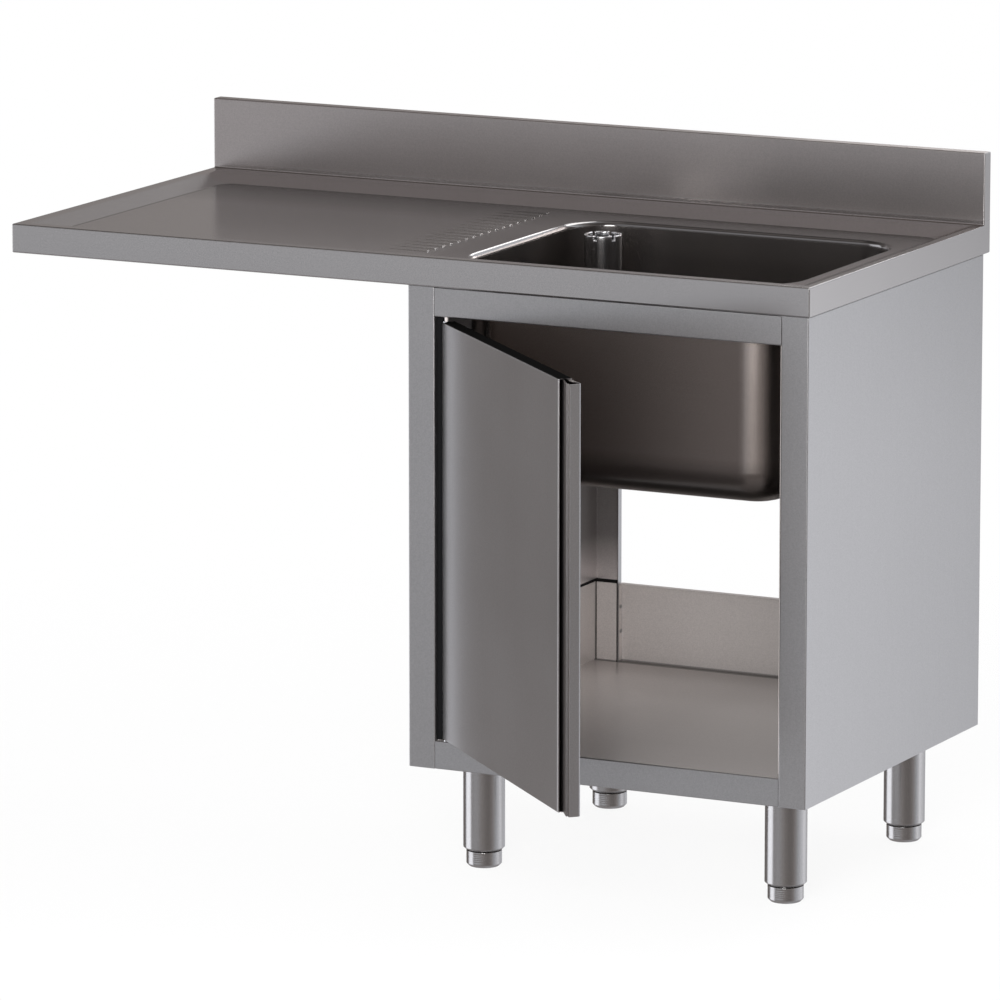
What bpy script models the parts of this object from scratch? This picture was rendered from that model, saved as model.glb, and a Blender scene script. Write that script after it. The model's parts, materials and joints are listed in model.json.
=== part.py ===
# Stainless steel sink unit: one bowl, a drainer over a free bay, and a cupboard with one door.
# Metres, +Z up. X runs along the worktop from its middle, Y runs back from its front edge,
# Z rises from the floor. The whole unit hangs on one empty that centres it on its own box.
import bmesh
import bpy
from math import cos, pi, radians, sin, tau
from mathutils import Matrix, Vector

# Worktop
TOP_LENGTH = 1.200
TOP_DEPTH = 0.600
WORK_HEIGHT = 0.850
TOP_SHEET = 0.0012
APRON_HEIGHT = 0.040
APRON_RETURN = 0.015
REAR_RETURN = 0.020
SPLASH_HEIGHT = 0.100
SPLASH_THICKNESS = 0.020

# Sunk field of the worktop
RECESS_DEPTH = 0.010
RIM_LEFT = 0.018
RIM_FRONT = 0.016
RIM_RIGHT = 0.010
RIM_REAR = 0.003
FIELD_FROM_LEFT = 0.0555
FIELD_BEFORE_BOWL = 0.004
FIELD_BESIDE_BOWL = 0.0155
FIELD_BEHIND_BOWL = 0.058

# Drainer ribs: low tapered ridges that end in line beside the bowl
RIB_PITCH = 0.0228
RIB_LENGTH = 0.085
RIB_WIDTH = 0.012
RIB_HEIGHT = 0.0020
RIB_AXIS_DEPTH = 0.0003
RIB_FRONT_MARGIN = 0.060
RIB_REAR_MARGIN = 0.045
RIB_FROM_BOWL = 0.0595

# Bowl
BOWL_LENGTH = 0.4945
BOWL_WIDTH = 0.408
BOWL_DEPTH = 0.299
BOWL_RIGHT_MARGIN = 0.0555
BOWL_LEFT_MARGIN = 0.0405
BOWL_FRONT_MARGIN = 0.044
BOWL_CORNER = 0.070
BOWL_FLOOR_RADIUS = 0.045
BOWL_SHEET = 0.001
LIP_RADIUS = 0.007

# Waste and standpipe
WASTE_FROM_LEFT = 0.078
WASTE_FROM_BACK = 0.095
WASTE_TAIL_RADIUS = 0.0185
WASTE_TAIL_WALL = 0.003
WASTE_TAIL_LENGTH = 0.046
WASTE_HOLE_CLEARANCE = 0.0005
WASTE_FLANGE_OVERHANG = 0.0015
WASTE_FLANGE_THICKNESS = 0.0025
WASTE_FLANGE_CHAMFER = 0.001
GASKET_WIDTH = 0.0072
GASKET_THICKNESS = 0.0015
NUT_CORNER_WALL = 0.0095
NUT_HEIGHT = 0.010
PIPE_RADIUS = 0.0260
PIPE_WALL = 0.002
OVERFLOW_DROP = 0.003
PLUG_RIM_HEIGHT = 0.004
PLUG_RIM_TAPER = 0.003
PLUG_NECK_HEIGHT = 0.008
SPIGOT_CLEARANCE = 0.001
SPIGOT_WALL = 0.0025
SPIGOT_LENGTH = 0.018
SEAL_INSET = 0.0035
SEAL_THICKNESS = 0.0045
SLOT_COUNT = 6
SLOT_WIDTH = 0.008
SLOT_DEPTH = 0.009

# Under-top stiffeners
STIFFENER_WIDTH = 0.030
STIFFENER_FLANGE = 0.015
STIFFENER_FRONT_Y = 0.130
STIFFENER_REAR_Y = 0.420
STIFFENER_OVER_PANEL = 0.030

# Cupboard
LEG_HEIGHT = 0.150
CABINET_SHEET = 0.001
CABINET_SIDE_SETBACK = 0.002
CABINET_FRONT_SETBACK = 0.002
CABINET_REAR_SETBACK = 0.017
STILE_WIDTH = 0.0395
HINGE_STILE_RETURN = 0.010
REAR_FLANGE = 0.040
REAR_LIP = 0.012
PANEL_TOP_FLANGE = 0.020
PANEL_FLANGE_NOTCH = 0.006
TOP_RAIL_HEIGHT = 0.0397
TOP_RAIL_UPPER_FLANGE = 0.030
TOP_RAIL_LOWER_FLANGE = 0.036
TOP_RAIL_LIP = 0.012
REAR_RAIL_HEIGHT = 0.040
REAR_RAIL_FLANGE = 0.025
BOTTOM_RAIL_HEIGHT = 0.0385
BOTTOM_RAIL_RETURN = 0.018
UPSTAND_HEIGHT = 0.1125
UPSTAND_STANDOFF = 0.004
UPSTAND_FROM_STILE = 0.026
CORNER_SLIT = 0.0015
SHELF_REAR_FOLD = 0.015
HINGE_STOP_BEHIND_STILE = 0.020
CATCH_STOP_REACH = 0.010
CATCH_STOP_BEHIND_STILE = 0.024
STOP_RETURN = 0.011

# Rivets of the back panel
RIVET_RADIUS = 0.0016
RIVET_HEAD_RADIUS = 0.0032
RIVET_HEAD_HEIGHT = 0.0012
RIVET_HEIGHTS = (0.0434, 0.0785)

# Door and its pivots
DOOR_OPEN_ANGLE = 44.0
DOOR_THICKNESS = 0.0189
DOOR_SHEET = 0.001
DOOR_TOP_GAP = 0.0075
DOOR_BOTTOM_GAP = 0.0025
HINGE_SIDE_GAP = 0.0096
CATCH_SIDE_GAP = 0.0035
DOOR_STOP_GAP = 0.0008
STOP_SIDE_GAP = 0.0009
INNER_FLANGE = 0.0065
HANDLE_REACH = 0.036
HANDLE_UNDERCUT = 0.0165
HANDLE_WEB_DEPTH = 0.0105
HANDLE_BEAD_SETBACK = 0.006
HANDLE_BEAD_DEPTH = 0.0008
HANDLE_STEP_DEPTH = 0.0032
HANDLE_BACK_LEG = 0.016
PIN_RADIUS = 0.0025
PIN_HEAD_RADIUS = 0.0045
PIN_HEAD_HEIGHT = 0.002
BUSH_WALL = 0.0012
BUSH_COLLAR = 0.0008
BUSH_FLANGE = 0.0012
BUSH_LENGTH = 0.012
BRACKET_LENGTH = 0.046
BRACKET_BEFORE_PIN = 0.010
BRACKET_DEPTH = 0.020
BRACKET_THICKNESS = 0.003
BRACKET_SCREW_SPACING = 0.014
MAGNET_WIDTH = 0.012
MAGNET_DEPTH = 0.010
MAGNET_HEIGHT = 0.060
STRIKE_THICKNESS = 0.0015

# Legs and feet
LEG_RADIUS = 0.0285
LEG_WALL = 0.0015
LEG_TAPER = 0.003
LEG_TAPER_HEIGHT = 0.006
LEG_FROM_SIDE = 0.0685
LEG_FROM_FRONT = 0.0905
LEG_FROM_REAR = 0.0965
LEG_PLATE_SIZE = 0.090
LEG_PLATE_THICKNESS = 0.003
INSERT_HEIGHT = 0.030
STEM_RADIUS = 0.006
STEM_LENGTH = 0.055
FOOT_RADIUS = 0.0243
FOOT_HEIGHT = 0.0220
FOOT_CHAMFER = 0.004
FOOT_LEG_GAP = 0.0015

# Clearance between touching pieces, and facets of round pieces
FIT_GAP = 0.0003
ROUND_SEGMENTS = 32
SMALL_SEGMENTS = 12
CORNER_SEGMENTS = 8
FILLET_SEGMENTS = 6

# Places worked out from the sizes above
topRight = TOP_LENGTH / 2
splashFoot = TOP_DEPTH - SPLASH_THICKNESS
fieldZ = WORK_HEIGHT - RECESS_DEPTH
bowlRight = topRight - BOWL_RIGHT_MARGIN
bowlLeft = bowlRight - BOWL_LENGTH
bowlFront = BOWL_FRONT_MARGIN
bowlBack = bowlFront + BOWL_WIDTH
bowlFloorZ = fieldZ - BOWL_DEPTH
bowlUnderZ = bowlFloorZ - BOWL_SHEET
wasteHole = WASTE_TAIL_RADIUS + WASTE_HOLE_CLEARANCE
wasteBore = WASTE_TAIL_RADIUS - WASTE_TAIL_WALL
wasteX = bowlLeft + WASTE_FROM_LEFT
wasteY = bowlBack - WASTE_FROM_BACK
cabLeft = bowlLeft - BOWL_LEFT_MARGIN
cabRight = topRight - CABINET_SIDE_SETBACK
cabFront = CABINET_FRONT_SETBACK
cabRear = TOP_DEPTH - CABINET_REAR_SETBACK
cabTop = WORK_HEIGHT - APRON_HEIGHT - FIT_GAP
cabBottom = LEG_HEIGHT
stileLeft = cabLeft + STILE_WIDTH
stileRight = cabRight - STILE_WIDTH
openTop = cabTop - TOP_RAIL_HEIGHT
shelfZ = cabBottom + BOTTOM_RAIL_HEIGHT
shelfUnderZ = shelfZ - CABINET_SHEET
shelfRear = cabRear - REAR_LIP - FIT_GAP
doorTop = openTop - DOOR_TOP_GAP
doorBottom = shelfZ + DOOR_BOTTOM_GAP
bushBore = PIN_RADIUS + FIT_GAP
bushRadius = bushBore + BUSH_WALL
bushFlangeRadius = bushRadius + BUSH_COLLAR
axisDepth = bushFlangeRadius + DOOR_SHEET
pivotX = stileLeft + HINGE_SIDE_GAP + axisDepth
pivotY = cabFront + axisDepth
doorEnd = stileRight - CATCH_SIDE_GAP - pivotX
frontSkinEnd = doorEnd - HANDLE_REACH
stopFace = cabFront + DOOR_THICKNESS + DOOR_STOP_GAP
openAngle = radians(DOOR_OPEN_ANGLE)
doorReach = pivotY - doorEnd * sin(openAngle) + (HANDLE_STEP_DEPTH - axisDepth) * cos(openAngle)
boxMiddleY = (min(0.0, doorReach) + TOP_DEPTH) / 2


def clear_scene():
    for thing in list(bpy.data.objects):
        bpy.data.objects.remove(thing, do_unlink=True)


def new_collection(name):
    collection = bpy.data.collections.new(name)
    bpy.context.scene.collection.children.link(collection)
    return collection


def new_material(name, color, roughness, metallic):
    material = bpy.data.materials.new(name)
    material.use_nodes = True
    shader = material.node_tree.nodes["Principled BSDF"]
    shader.inputs["Base Color"].default_value = (*color, 1.0)
    shader.inputs["Roughness"].default_value = roughness
    shader.inputs["Metallic"].default_value = metallic
    return material


def new_empty(name, parent, place, turn=0.0):
    empty = bpy.data.objects.new(name, None)
    partsCollection.objects.link(empty)
    empty.parent = parent
    empty.location = place
    empty.rotation_euler = (0.0, 0.0, turn)
    return empty


def finish(bm, name, material, parent, place=(0.0, 0.0, 0.0)):
    mesh = bpy.data.meshes.new(name)
    bm.to_mesh(mesh)
    bm.free()
    piece = bpy.data.objects.new(name, mesh)
    partsCollection.objects.link(piece)
    piece.parent = parent
    piece.location = place
    mesh.materials.append(material)
    return piece


# Modelling helpers


def orient(bm, face, wanted):
    # Makes all faces agree, with the given face looking along the wanted direction.
    bmesh.ops.recalc_face_normals(bm, faces=bm.faces[:])
    bm.normal_update()
    if face.normal.dot(Vector(wanted)) < 0:
        bmesh.ops.reverse_faces(bm, faces=bm.faces[:])


def solidify(piece, thickness):
    # Gives an open surface its sheet thickness, away from the side that its faces look to.
    modifier = piece.modifiers.new("Sheet", "SOLIDIFY")
    modifier.thickness = thickness
    modifier.offset = -1.0
    modifier.use_even_offset = True
    modifier.use_quality_normals = True


def folded_sheet(path, axis, start, end, outward):
    # Sweeps a folded section along X, Y or Z; outward is the way its first stretch looks.
    bm = bmesh.new()
    axisIndex = "XYZ".index(axis)

    def place(point):
        coords = list(point)
        coords.insert(axisIndex, start)
        return coords

    verts = [bm.verts.new(place(point)) for point in path]
    edges = [bm.edges.new(pair) for pair in zip(verts, verts[1:])]
    grown = bmesh.ops.extrude_edge_only(bm, edges=edges)["geom"]
    move = Vector((0.0, 0.0, 0.0))
    move[axisIndex] = end - start
    bmesh.ops.translate(bm, vec=move, verts=[v for v in grown if isinstance(v, bmesh.types.BMVert)])
    bm.faces.ensure_lookup_table()
    orient(bm, verts[0].link_faces[0], outward)
    return bm


def box(low, high):
    bm = bmesh.new()
    bmesh.ops.create_cube(bm, size=1.0)
    low = Vector(low)
    high = Vector(high)
    bmesh.ops.scale(bm, vec=high - low, verts=bm.verts[:])
    bmesh.ops.translate(bm, vec=(low + high) / 2, verts=bm.verts[:])
    return bm


def turned(name, profile, material, parent, place, segments=ROUND_SEGMENTS, closed=True):
    # A profile of radius and height pairs, down its outer side, turned about Z.
    mesh = bpy.data.meshes.new(name)
    edges = [(i, i + 1) for i in range(len(profile) - 1)]
    if closed:
        edges.append((len(profile) - 1, 0))
    mesh.from_pydata([(radius, 0.0, height) for radius, height in profile], edges, [])
    piece = bpy.data.objects.new(name, mesh)
    partsCollection.objects.link(piece)
    piece.parent = parent
    piece.location = place
    mesh.materials.append(material)
    screw = piece.modifiers.new("Turn", "SCREW")
    screw.axis = "Z"
    screw.angle = tau
    screw.steps = segments
    screw.render_steps = segments
    screw.use_merge_vertices = True
    screw.merge_threshold = 0.00001
    screw.use_smooth_shade = True
    return piece


def ring_profile(inner, outer, low, high):
    return [(inner, high), (outer, high), (outer, low), (inner, low)]


def cutter(bm, name, parent, place=(0.0, 0.0, 0.0)):
    mesh = bpy.data.meshes.new(name)
    bm.to_mesh(mesh)
    bm.free()
    tool = bpy.data.objects.new(name, mesh)
    toolsCollection.objects.link(tool)
    tool.parent = parent
    tool.location = place
    tool.hide_render = True
    tool.display_type = "WIRE"
    return tool


def cut(piece, tool, operation="DIFFERENCE"):
    modifier = piece.modifiers.new(tool.name, "BOOLEAN")
    modifier.operation = operation
    modifier.solver = "EXACT"
    modifier.object = tool


def add_rod(bm, radius, start, end, segments=SMALL_SEGMENTS):
    # One more plain round bar between two points, along X or Z.
    start = Vector(start)
    end = Vector(end)
    run = end - start
    turn = run.to_track_quat("Z", "Y").to_matrix().to_4x4()
    place = Matrix.Translation((start + end) / 2) @ turn
    bmesh.ops.create_cone(bm, cap_ends=True, segments=segments, radius1=radius, radius2=radius,
                          depth=run.length, matrix=place)


def rounded_outline(left, right, front, back, radius):
    # Corner points of a rectangle with round corners, anticlockwise from the right-hand front.
    centres = ((right - radius, front + radius, -pi / 2), (right - radius, back - radius, 0.0),
               (left + radius, back - radius, pi / 2), (left + radius, front + radius, pi))
    points = []
    for x, y, first in centres:
        for step in range(CORNER_SEGMENTS + 1):
            angle = first + step * pi / 2 / CORNER_SEGMENTS
            points.append((x + radius * cos(angle), y + radius * sin(angle)))
    return points


def bowl_outline(inset):
    # The bowl's plan, drawn in from the outer edge of the lip.
    return rounded_outline(bowlLeft + inset, bowlRight - inset, bowlFront + inset, bowlBack - inset,
                           BOWL_CORNER - inset)


def add_loop(bm, points, z):
    verts = [bm.verts.new((x, y, z)) for x, y in points]
    return [bm.edges.new(pair) for pair in zip(verts, verts[1:] + verts[:1])]


def bridge_all(bm, loops):
    for upper, lower in zip(loops, loops[1:]):
        bmesh.ops.bridge_loops(bm, edges=upper + lower)


# Worktop


def build_worktop():
    bm = box((-topRight, 0.0, WORK_HEIGHT - APRON_HEIGHT), (topRight, TOP_DEPTH, WORK_HEIGHT))
    bm.normal_update()
    under = min(bm.faces, key=lambda face: face.normal.z)
    bmesh.ops.delete(bm, geom=[under], context="FACES")
    top = max(bm.faces, key=lambda face: face.normal.z)
    bmesh.ops.bisect_plane(bm, geom=[top] + list(top.edges) + list(top.verts),
                           plane_co=(0.0, splashFoot, 0.0), plane_no=(0.0, 1.0, 0.0))
    bm.normal_update()
    topFaces = [face for face in bm.faces if face.normal.z > 0.5]
    strip = max(topFaces, key=lambda face: face.calc_center_median().y)
    field = min(topFaces, key=lambda face: face.calc_center_median().y)
    raise_splash(bm, strip)
    fieldEdges = sink_field(bm, field)
    lipLoops = [add_loop(bm, bowl_outline(0.0), fieldZ)]
    bmesh.ops.triangle_fill(bm, use_beauty=True, edges=fieldEdges + lipLoops[0])
    for step in range(1, FILLET_SEGMENTS + 1):
        angle = step * pi / 2 / FILLET_SEGMENTS
        height = fieldZ - LIP_RADIUS * (1 - cos(angle))
        lipLoops.append(add_loop(bm, bowl_outline(LIP_RADIUS * sin(angle)), height))
    bridge_all(bm, lipLoops)
    fold_apron_under(bm)
    front = min(bm.faces, key=lambda face: face.calc_center_median().y)
    orient(bm, front, (0.0, -1.0, 0.0))
    worktop = finish(bm, "worktop", steelTop, unit)
    solidify(worktop, TOP_SHEET)
    cut(worktop, rib_tool(), "UNION")


def raise_splash(bm, strip):
    grown = bmesh.ops.extrude_face_region(bm, geom=[strip])["geom"]
    bmesh.ops.translate(bm, vec=(0.0, 0.0, SPLASH_HEIGHT),
                        verts=[v for v in grown if isinstance(v, bmesh.types.BMVert)])
    if strip.is_valid:
        bmesh.ops.delete(bm, geom=[strip], context="FACES")


def sink_field(bm, field):
    # Two steps in from the edge: the flat rim, then the slope down to the sunk field.
    rim = ((-topRight + RIM_LEFT, topRight - RIM_RIGHT), (RIM_FRONT, splashFoot - RIM_REAR), WORK_HEIGHT)
    sunk = ((-topRight + FIELD_FROM_LEFT, bowlRight + FIELD_BESIDE_BOWL),
            (bowlFront - FIELD_BEFORE_BOWL, bowlBack + FIELD_BEHIND_BOWL), fieldZ)
    middle = field.calc_center_median().copy()
    for sides, ends, height in (rim, sunk):
        bmesh.ops.inset_individual(bm, faces=[field], thickness=RIM_REAR)
        for vert in field.verts:
            vert.co = (sides[vert.co.x > middle.x], ends[vert.co.y > middle.y], height)
    edges = list(field.edges)
    bmesh.ops.delete(bm, geom=[field], context="FACES")
    return edges


def fold_apron_under(bm):
    low = WORK_HEIGHT - APRON_HEIGHT
    rims = [edge for edge in bm.edges
            if edge.is_boundary and all(abs(v.co.z - low) < FIT_GAP for v in edge.verts)]
    grown = bmesh.ops.extrude_edge_only(bm, edges=rims)["geom"]
    for vert in (v for v in grown if isinstance(v, bmesh.types.BMVert)):
        side = topRight - APRON_RETURN
        vert.co.x = side if vert.co.x > 0 else -side
        vert.co.y = APRON_RETURN if vert.co.y < TOP_DEPTH / 2 else TOP_DEPTH - REAR_RETURN


def rib_tool():
    # Flattened cones that lie on the field, point away from the bowl and end square beside it. Their axes
    # lie just under the field, so no side overhangs it, and their lower halves are cut off in the sheet.
    bm = bmesh.new()
    ribEnd = bowlLeft - RIB_FROM_BOWL
    firstY = bowlFront - FIELD_BEFORE_BOWL + RIB_FRONT_MARGIN
    lastY = bowlBack + FIELD_BEHIND_BOWL - RIB_REAR_MARGIN
    for index in range(int((lastY - firstY) / RIB_PITCH) + 1):
        place = Matrix.Translation((ribEnd - RIB_LENGTH / 2, firstY + index * RIB_PITCH,
                                    fieldZ - RIB_AXIS_DEPTH))
        flatten = Matrix.Diagonal((1.0, RIB_WIDTH / 2, RIB_HEIGHT + RIB_AXIS_DEPTH, 1.0))
        lie = Matrix.Rotation(-pi / 2, 4, "Y")
        bmesh.ops.create_cone(bm, cap_ends=True, segments=CORNER_SEGMENTS, radius1=1.0, radius2=0.0,
                              depth=RIB_LENGTH, matrix=place @ flatten @ lie)
    bmesh.ops.bisect_plane(bm, geom=list(bm.verts) + list(bm.edges) + list(bm.faces), clear_inner=True,
                           plane_co=(0.0, 0.0, fieldZ - TOP_SHEET / 2), plane_no=(0.0, 0.0, 1.0))
    bmesh.ops.holes_fill(bm, edges=[edge for edge in bm.edges if edge.is_boundary])
    return cutter(bm, "drainer_rib_shapes", unit)


def build_bowl():
    bm = bmesh.new()
    loops = [add_loop(bm, bowl_outline(LIP_RADIUS), fieldZ - LIP_RADIUS - FIT_GAP)]
    for step in range(FILLET_SEGMENTS + 1):
        angle = step * pi / 2 / FILLET_SEGMENTS
        inset = BOWL_FLOOR_RADIUS * (1 - cos(angle))
        height = BOWL_FLOOR_RADIUS * (1 - sin(angle))
        loops.append(add_loop(bm, bowl_outline(LIP_RADIUS + inset), bowlFloorZ + height))
    bridge_all(bm, loops)
    hole = [(wasteX + wasteHole * cos(tau * i / ROUND_SEGMENTS),
             wasteY + wasteHole * sin(tau * i / ROUND_SEGMENTS)) for i in range(ROUND_SEGMENTS)]
    bmesh.ops.triangle_fill(bm, use_beauty=True, edges=loops[-1] + add_loop(bm, hole, bowlFloorZ))
    floor = min(bm.faces, key=lambda face: face.calc_center_median().z)
    orient(bm, floor, (0.0, 0.0, 1.0))
    solidify(finish(bm, "sink_bowl", steelBowl, unit), BOWL_SHEET)


def build_stiffeners():
    upper = fieldZ - TOP_SHEET - FIT_GAP
    lower = cabTop + FIT_GAP + CABINET_SHEET
    start = -topRight + FIELD_FROM_LEFT
    end = cabLeft + STIFFENER_OVER_PANEL
    half = STIFFENER_WIDTH / 2
    for name, y in (("front_stiffener", STIFFENER_FRONT_Y), ("rear_stiffener", STIFFENER_REAR_Y)):
        path = ((y - half - STIFFENER_FLANGE, upper), (y - half, upper), (y - half, lower),
                (y + half, lower), (y + half, upper), (y + half + STIFFENER_FLANGE, upper))
        bm = folded_sheet(path, "X", start, end, (0.0, 0.0, 1.0))
        solidify(finish(bm, name, steelInside, unit), CABINET_SHEET)


# Waste and standpipe


def build_waste():
    place = (wasteX, wasteY, 0.0)
    gasketLow = bowlFloorZ + FIT_GAP
    flangeLow = gasketLow + GASKET_THICKNESS + FIT_GAP
    flangeTop = flangeLow + WASTE_FLANGE_THICKNESS
    tailLow = bowlFloorZ - WASTE_TAIL_LENGTH
    gasketBore = wasteHole + FIT_GAP
    gasketRadius = gasketBore + GASKET_WIDTH
    ring = ring_profile(gasketBore, gasketRadius, gasketLow, gasketLow + GASKET_THICKNESS)
    turned("waste_upper_gasket", ring, blackRubber, unit, place)
    chamfer = WASTE_FLANGE_CHAMFER
    flangeRadius = gasketRadius + WASTE_FLANGE_OVERHANG
    flange = ((wasteBore + chamfer, flangeTop), (flangeRadius - chamfer, flangeTop),
              (flangeRadius, flangeTop - chamfer), (flangeRadius, flangeLow),
              (WASTE_TAIL_RADIUS, flangeLow), (WASTE_TAIL_RADIUS, tailLow),
              (wasteBore, tailLow), (wasteBore, flangeTop - chamfer))
    turned("waste_flange", flange, chromePipe, unit, place)
    lowerTop = bowlUnderZ - FIT_GAP
    ring = ring_profile(gasketBore, gasketRadius, lowerTop - GASKET_THICKNESS, lowerTop)
    turned("waste_lower_gasket", ring, blackRubber, unit, place)
    nutTop = lowerTop - GASKET_THICKNESS - FIT_GAP
    nutLow = nutTop - NUT_HEIGHT
    bm = bmesh.new()
    add_rod(bm, WASTE_TAIL_RADIUS + NUT_CORNER_WALL, (0.0, 0.0, nutLow), (0.0, 0.0, nutTop), segments=6)
    nut = finish(bm, "waste_nut", chromePipe, unit, place)
    bm = bmesh.new()
    add_rod(bm, WASTE_TAIL_RADIUS + FIT_GAP, (0.0, 0.0, nutLow - NUT_HEIGHT), (0.0, 0.0, nutTop + NUT_HEIGHT),
            segments=ROUND_SEGMENTS)
    cut(nut, cutter(bm, "waste_nut_bore", unit, place))
    return flangeTop


def build_standpipe(flangeTop):
    # A turned plug seats in the waste with a rubber seal, and carries the slotted overflow tube.
    pipe = new_empty("standpipe_axis", unit, (wasteX, wasteY, 0.0))
    here = (0.0, 0.0, 0.0)
    spigot = wasteBore - SPIGOT_CLEARANCE
    spigotBore = spigot - SPIGOT_WALL
    bore = PIPE_RADIUS - PIPE_WALL
    sealLow = flangeTop + FIT_GAP
    foot = sealLow + SEAL_THICKNESS + FIT_GAP
    rim = foot + PLUG_RIM_HEIGHT
    neck = rim + PLUG_NECK_HEIGHT
    spigotLow = flangeTop - SPIGOT_LENGTH
    ring = ring_profile(spigot + FIT_GAP, PIPE_RADIUS - SEAL_INSET, sealLow, sealLow + SEAL_THICKNESS)
    turned("standpipe_seal", ring, blackRubber, pipe, here)
    plug = ((spigotBore, neck), (bore - FIT_GAP, neck), (bore - FIT_GAP, rim), (PIPE_RADIUS, rim),
            (PIPE_RADIUS, foot + PLUG_RIM_TAPER), (PIPE_RADIUS - PLUG_RIM_TAPER, foot), (spigot, foot),
            (spigot, spigotLow), (spigotBore, spigotLow))
    turned("standpipe_plug", plug, chromePipe, pipe, here)
    top = fieldZ - OVERFLOW_DROP
    tube = ring_profile(bore, PIPE_RADIUS, rim + FIT_GAP, top)
    standpipe = turned("standpipe", tube, chromePipe, pipe, here)
    bm = bmesh.new()
    for index in range(SLOT_COUNT):
        around = Matrix.Rotation(tau * (index + 0.5) / SLOT_COUNT, 4, "Z")
        outward = Matrix.Translation((PIPE_RADIUS - PIPE_WALL / 2, 0.0, top))
        size = Matrix.Diagonal((4 * PIPE_WALL, SLOT_WIDTH, 2 * SLOT_DEPTH, 1.0))
        bmesh.ops.create_cube(bm, size=1.0, matrix=around @ outward @ size)
    cut(standpipe, cutter(bm, "standpipe_slots", pipe))


# Cupboard


def build_side_panels():
    for name, side in (("left_side_panel", 1), ("right_side_panel", -1)):
        outer = cabLeft if side > 0 else cabRight
        stileReturn = HINGE_STILE_RETURN if side > 0 else stopFace - FIT_GAP - cabFront
        path = ((outer + side * REAR_FLANGE, cabRear - REAR_LIP), (outer + side * REAR_FLANGE, cabRear),
                (outer, cabRear), (outer, cabRear - PANEL_FLANGE_NOTCH),
                (outer, cabFront + PANEL_FLANGE_NOTCH), (outer, cabFront),
                (outer + side * STILE_WIDTH, cabFront),
                (outer + side * STILE_WIDTH, cabFront + stileReturn))
        bm = folded_sheet(path, "Z", cabBottom, cabTop, (side, 0.0, 0.0))
        corner = Vector((outer, 0.0, cabTop))
        rims = [edge for edge in bm.edges
                if all(((v.co - corner) * Vector((1.0, 0.0, 1.0))).length < FIT_GAP for v in edge.verts)]
        longest = max(rims, key=lambda edge: edge.calc_length())
        grown = bmesh.ops.extrude_edge_only(bm, edges=[longest])["geom"]
        bmesh.ops.translate(bm, vec=(side * PANEL_TOP_FLANGE, 0.0, 0.0),
                            verts=[v for v in grown if isinstance(v, bmesh.types.BMVert)])
        front = min(bm.faces, key=lambda face: face.calc_center_median().y)
        orient(bm, front, (0.0, -1.0, 0.0))
        panel = finish(bm, name, steelSide, unit)
        solidify(panel, CABINET_SHEET)
        cut(panel, rivetHoles)


def build_stops():
    low = shelfZ + FIT_GAP
    high = openTop - FIT_GAP
    hingeFace = cabFront + HINGE_STILE_RETURN + FIT_GAP
    hingeEnd = pivotX - axisDepth - STOP_SIDE_GAP
    path = ((stileLeft - HINGE_STOP_BEHIND_STILE, hingeFace), (hingeEnd, hingeFace),
            (hingeEnd, hingeFace + STOP_RETURN))
    bm = folded_sheet(path, "Z", low, high, (0.0, -1.0, 0.0))
    solidify(finish(bm, "hinge_side_stop", steelInside, unit), CABINET_SHEET)
    path = ((stileRight + CATCH_STOP_BEHIND_STILE, stopFace), (stileRight - CATCH_STOP_REACH, stopFace),
            (stileRight - CATCH_STOP_REACH, stopFace + STOP_RETURN))
    bm = folded_sheet(path, "Z", low, high, (0.0, -1.0, 0.0))
    solidify(finish(bm, "catch_side_stop", steelInside, unit), CABINET_SHEET)
    magnetLeft = stileRight - CATCH_STOP_REACH + CABINET_SHEET + FIT_GAP
    magnetFront = stopFace + CABINET_SHEET + FIT_GAP
    middle = (doorTop + doorBottom) / 2
    bm = box((magnetLeft, magnetFront, middle - MAGNET_HEIGHT / 2),
             (magnetLeft + MAGNET_WIDTH, magnetFront + MAGNET_DEPTH, middle + MAGNET_HEIGHT / 2))
    finish(bm, "catch_magnet", blackRubber, unit)


def build_rails():
    lowerBack = cabFront + TOP_RAIL_LOWER_FLANGE
    path = ((cabFront + TOP_RAIL_UPPER_FLANGE, cabTop), (cabFront, cabTop), (cabFront, openTop),
            (lowerBack, openTop), (lowerBack, openTop + TOP_RAIL_LIP))
    bm = folded_sheet(path, "X", stileLeft + FIT_GAP, stileRight - FIT_GAP, (0.0, 0.0, 1.0))
    rail = finish(bm, "top_front_rail", steelSide, unit)
    solidify(rail, CABINET_SHEET)
    cut(rail, hingeHoles)
    low = cabTop - REAR_RAIL_HEIGHT
    flangeFront = cabRear - REAR_RAIL_FLANGE
    path = ((flangeFront, cabTop), (cabRear, cabTop), (cabRear, low), (flangeFront, low))
    left = cabLeft + REAR_FLANGE + FIT_GAP
    bm = folded_sheet(path, "X", left, cabRight - REAR_FLANGE - FIT_GAP, (0.0, 0.0, 1.0))
    solidify(finish(bm, "top_rear_rail", steelInside, unit), CABINET_SHEET)


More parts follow.
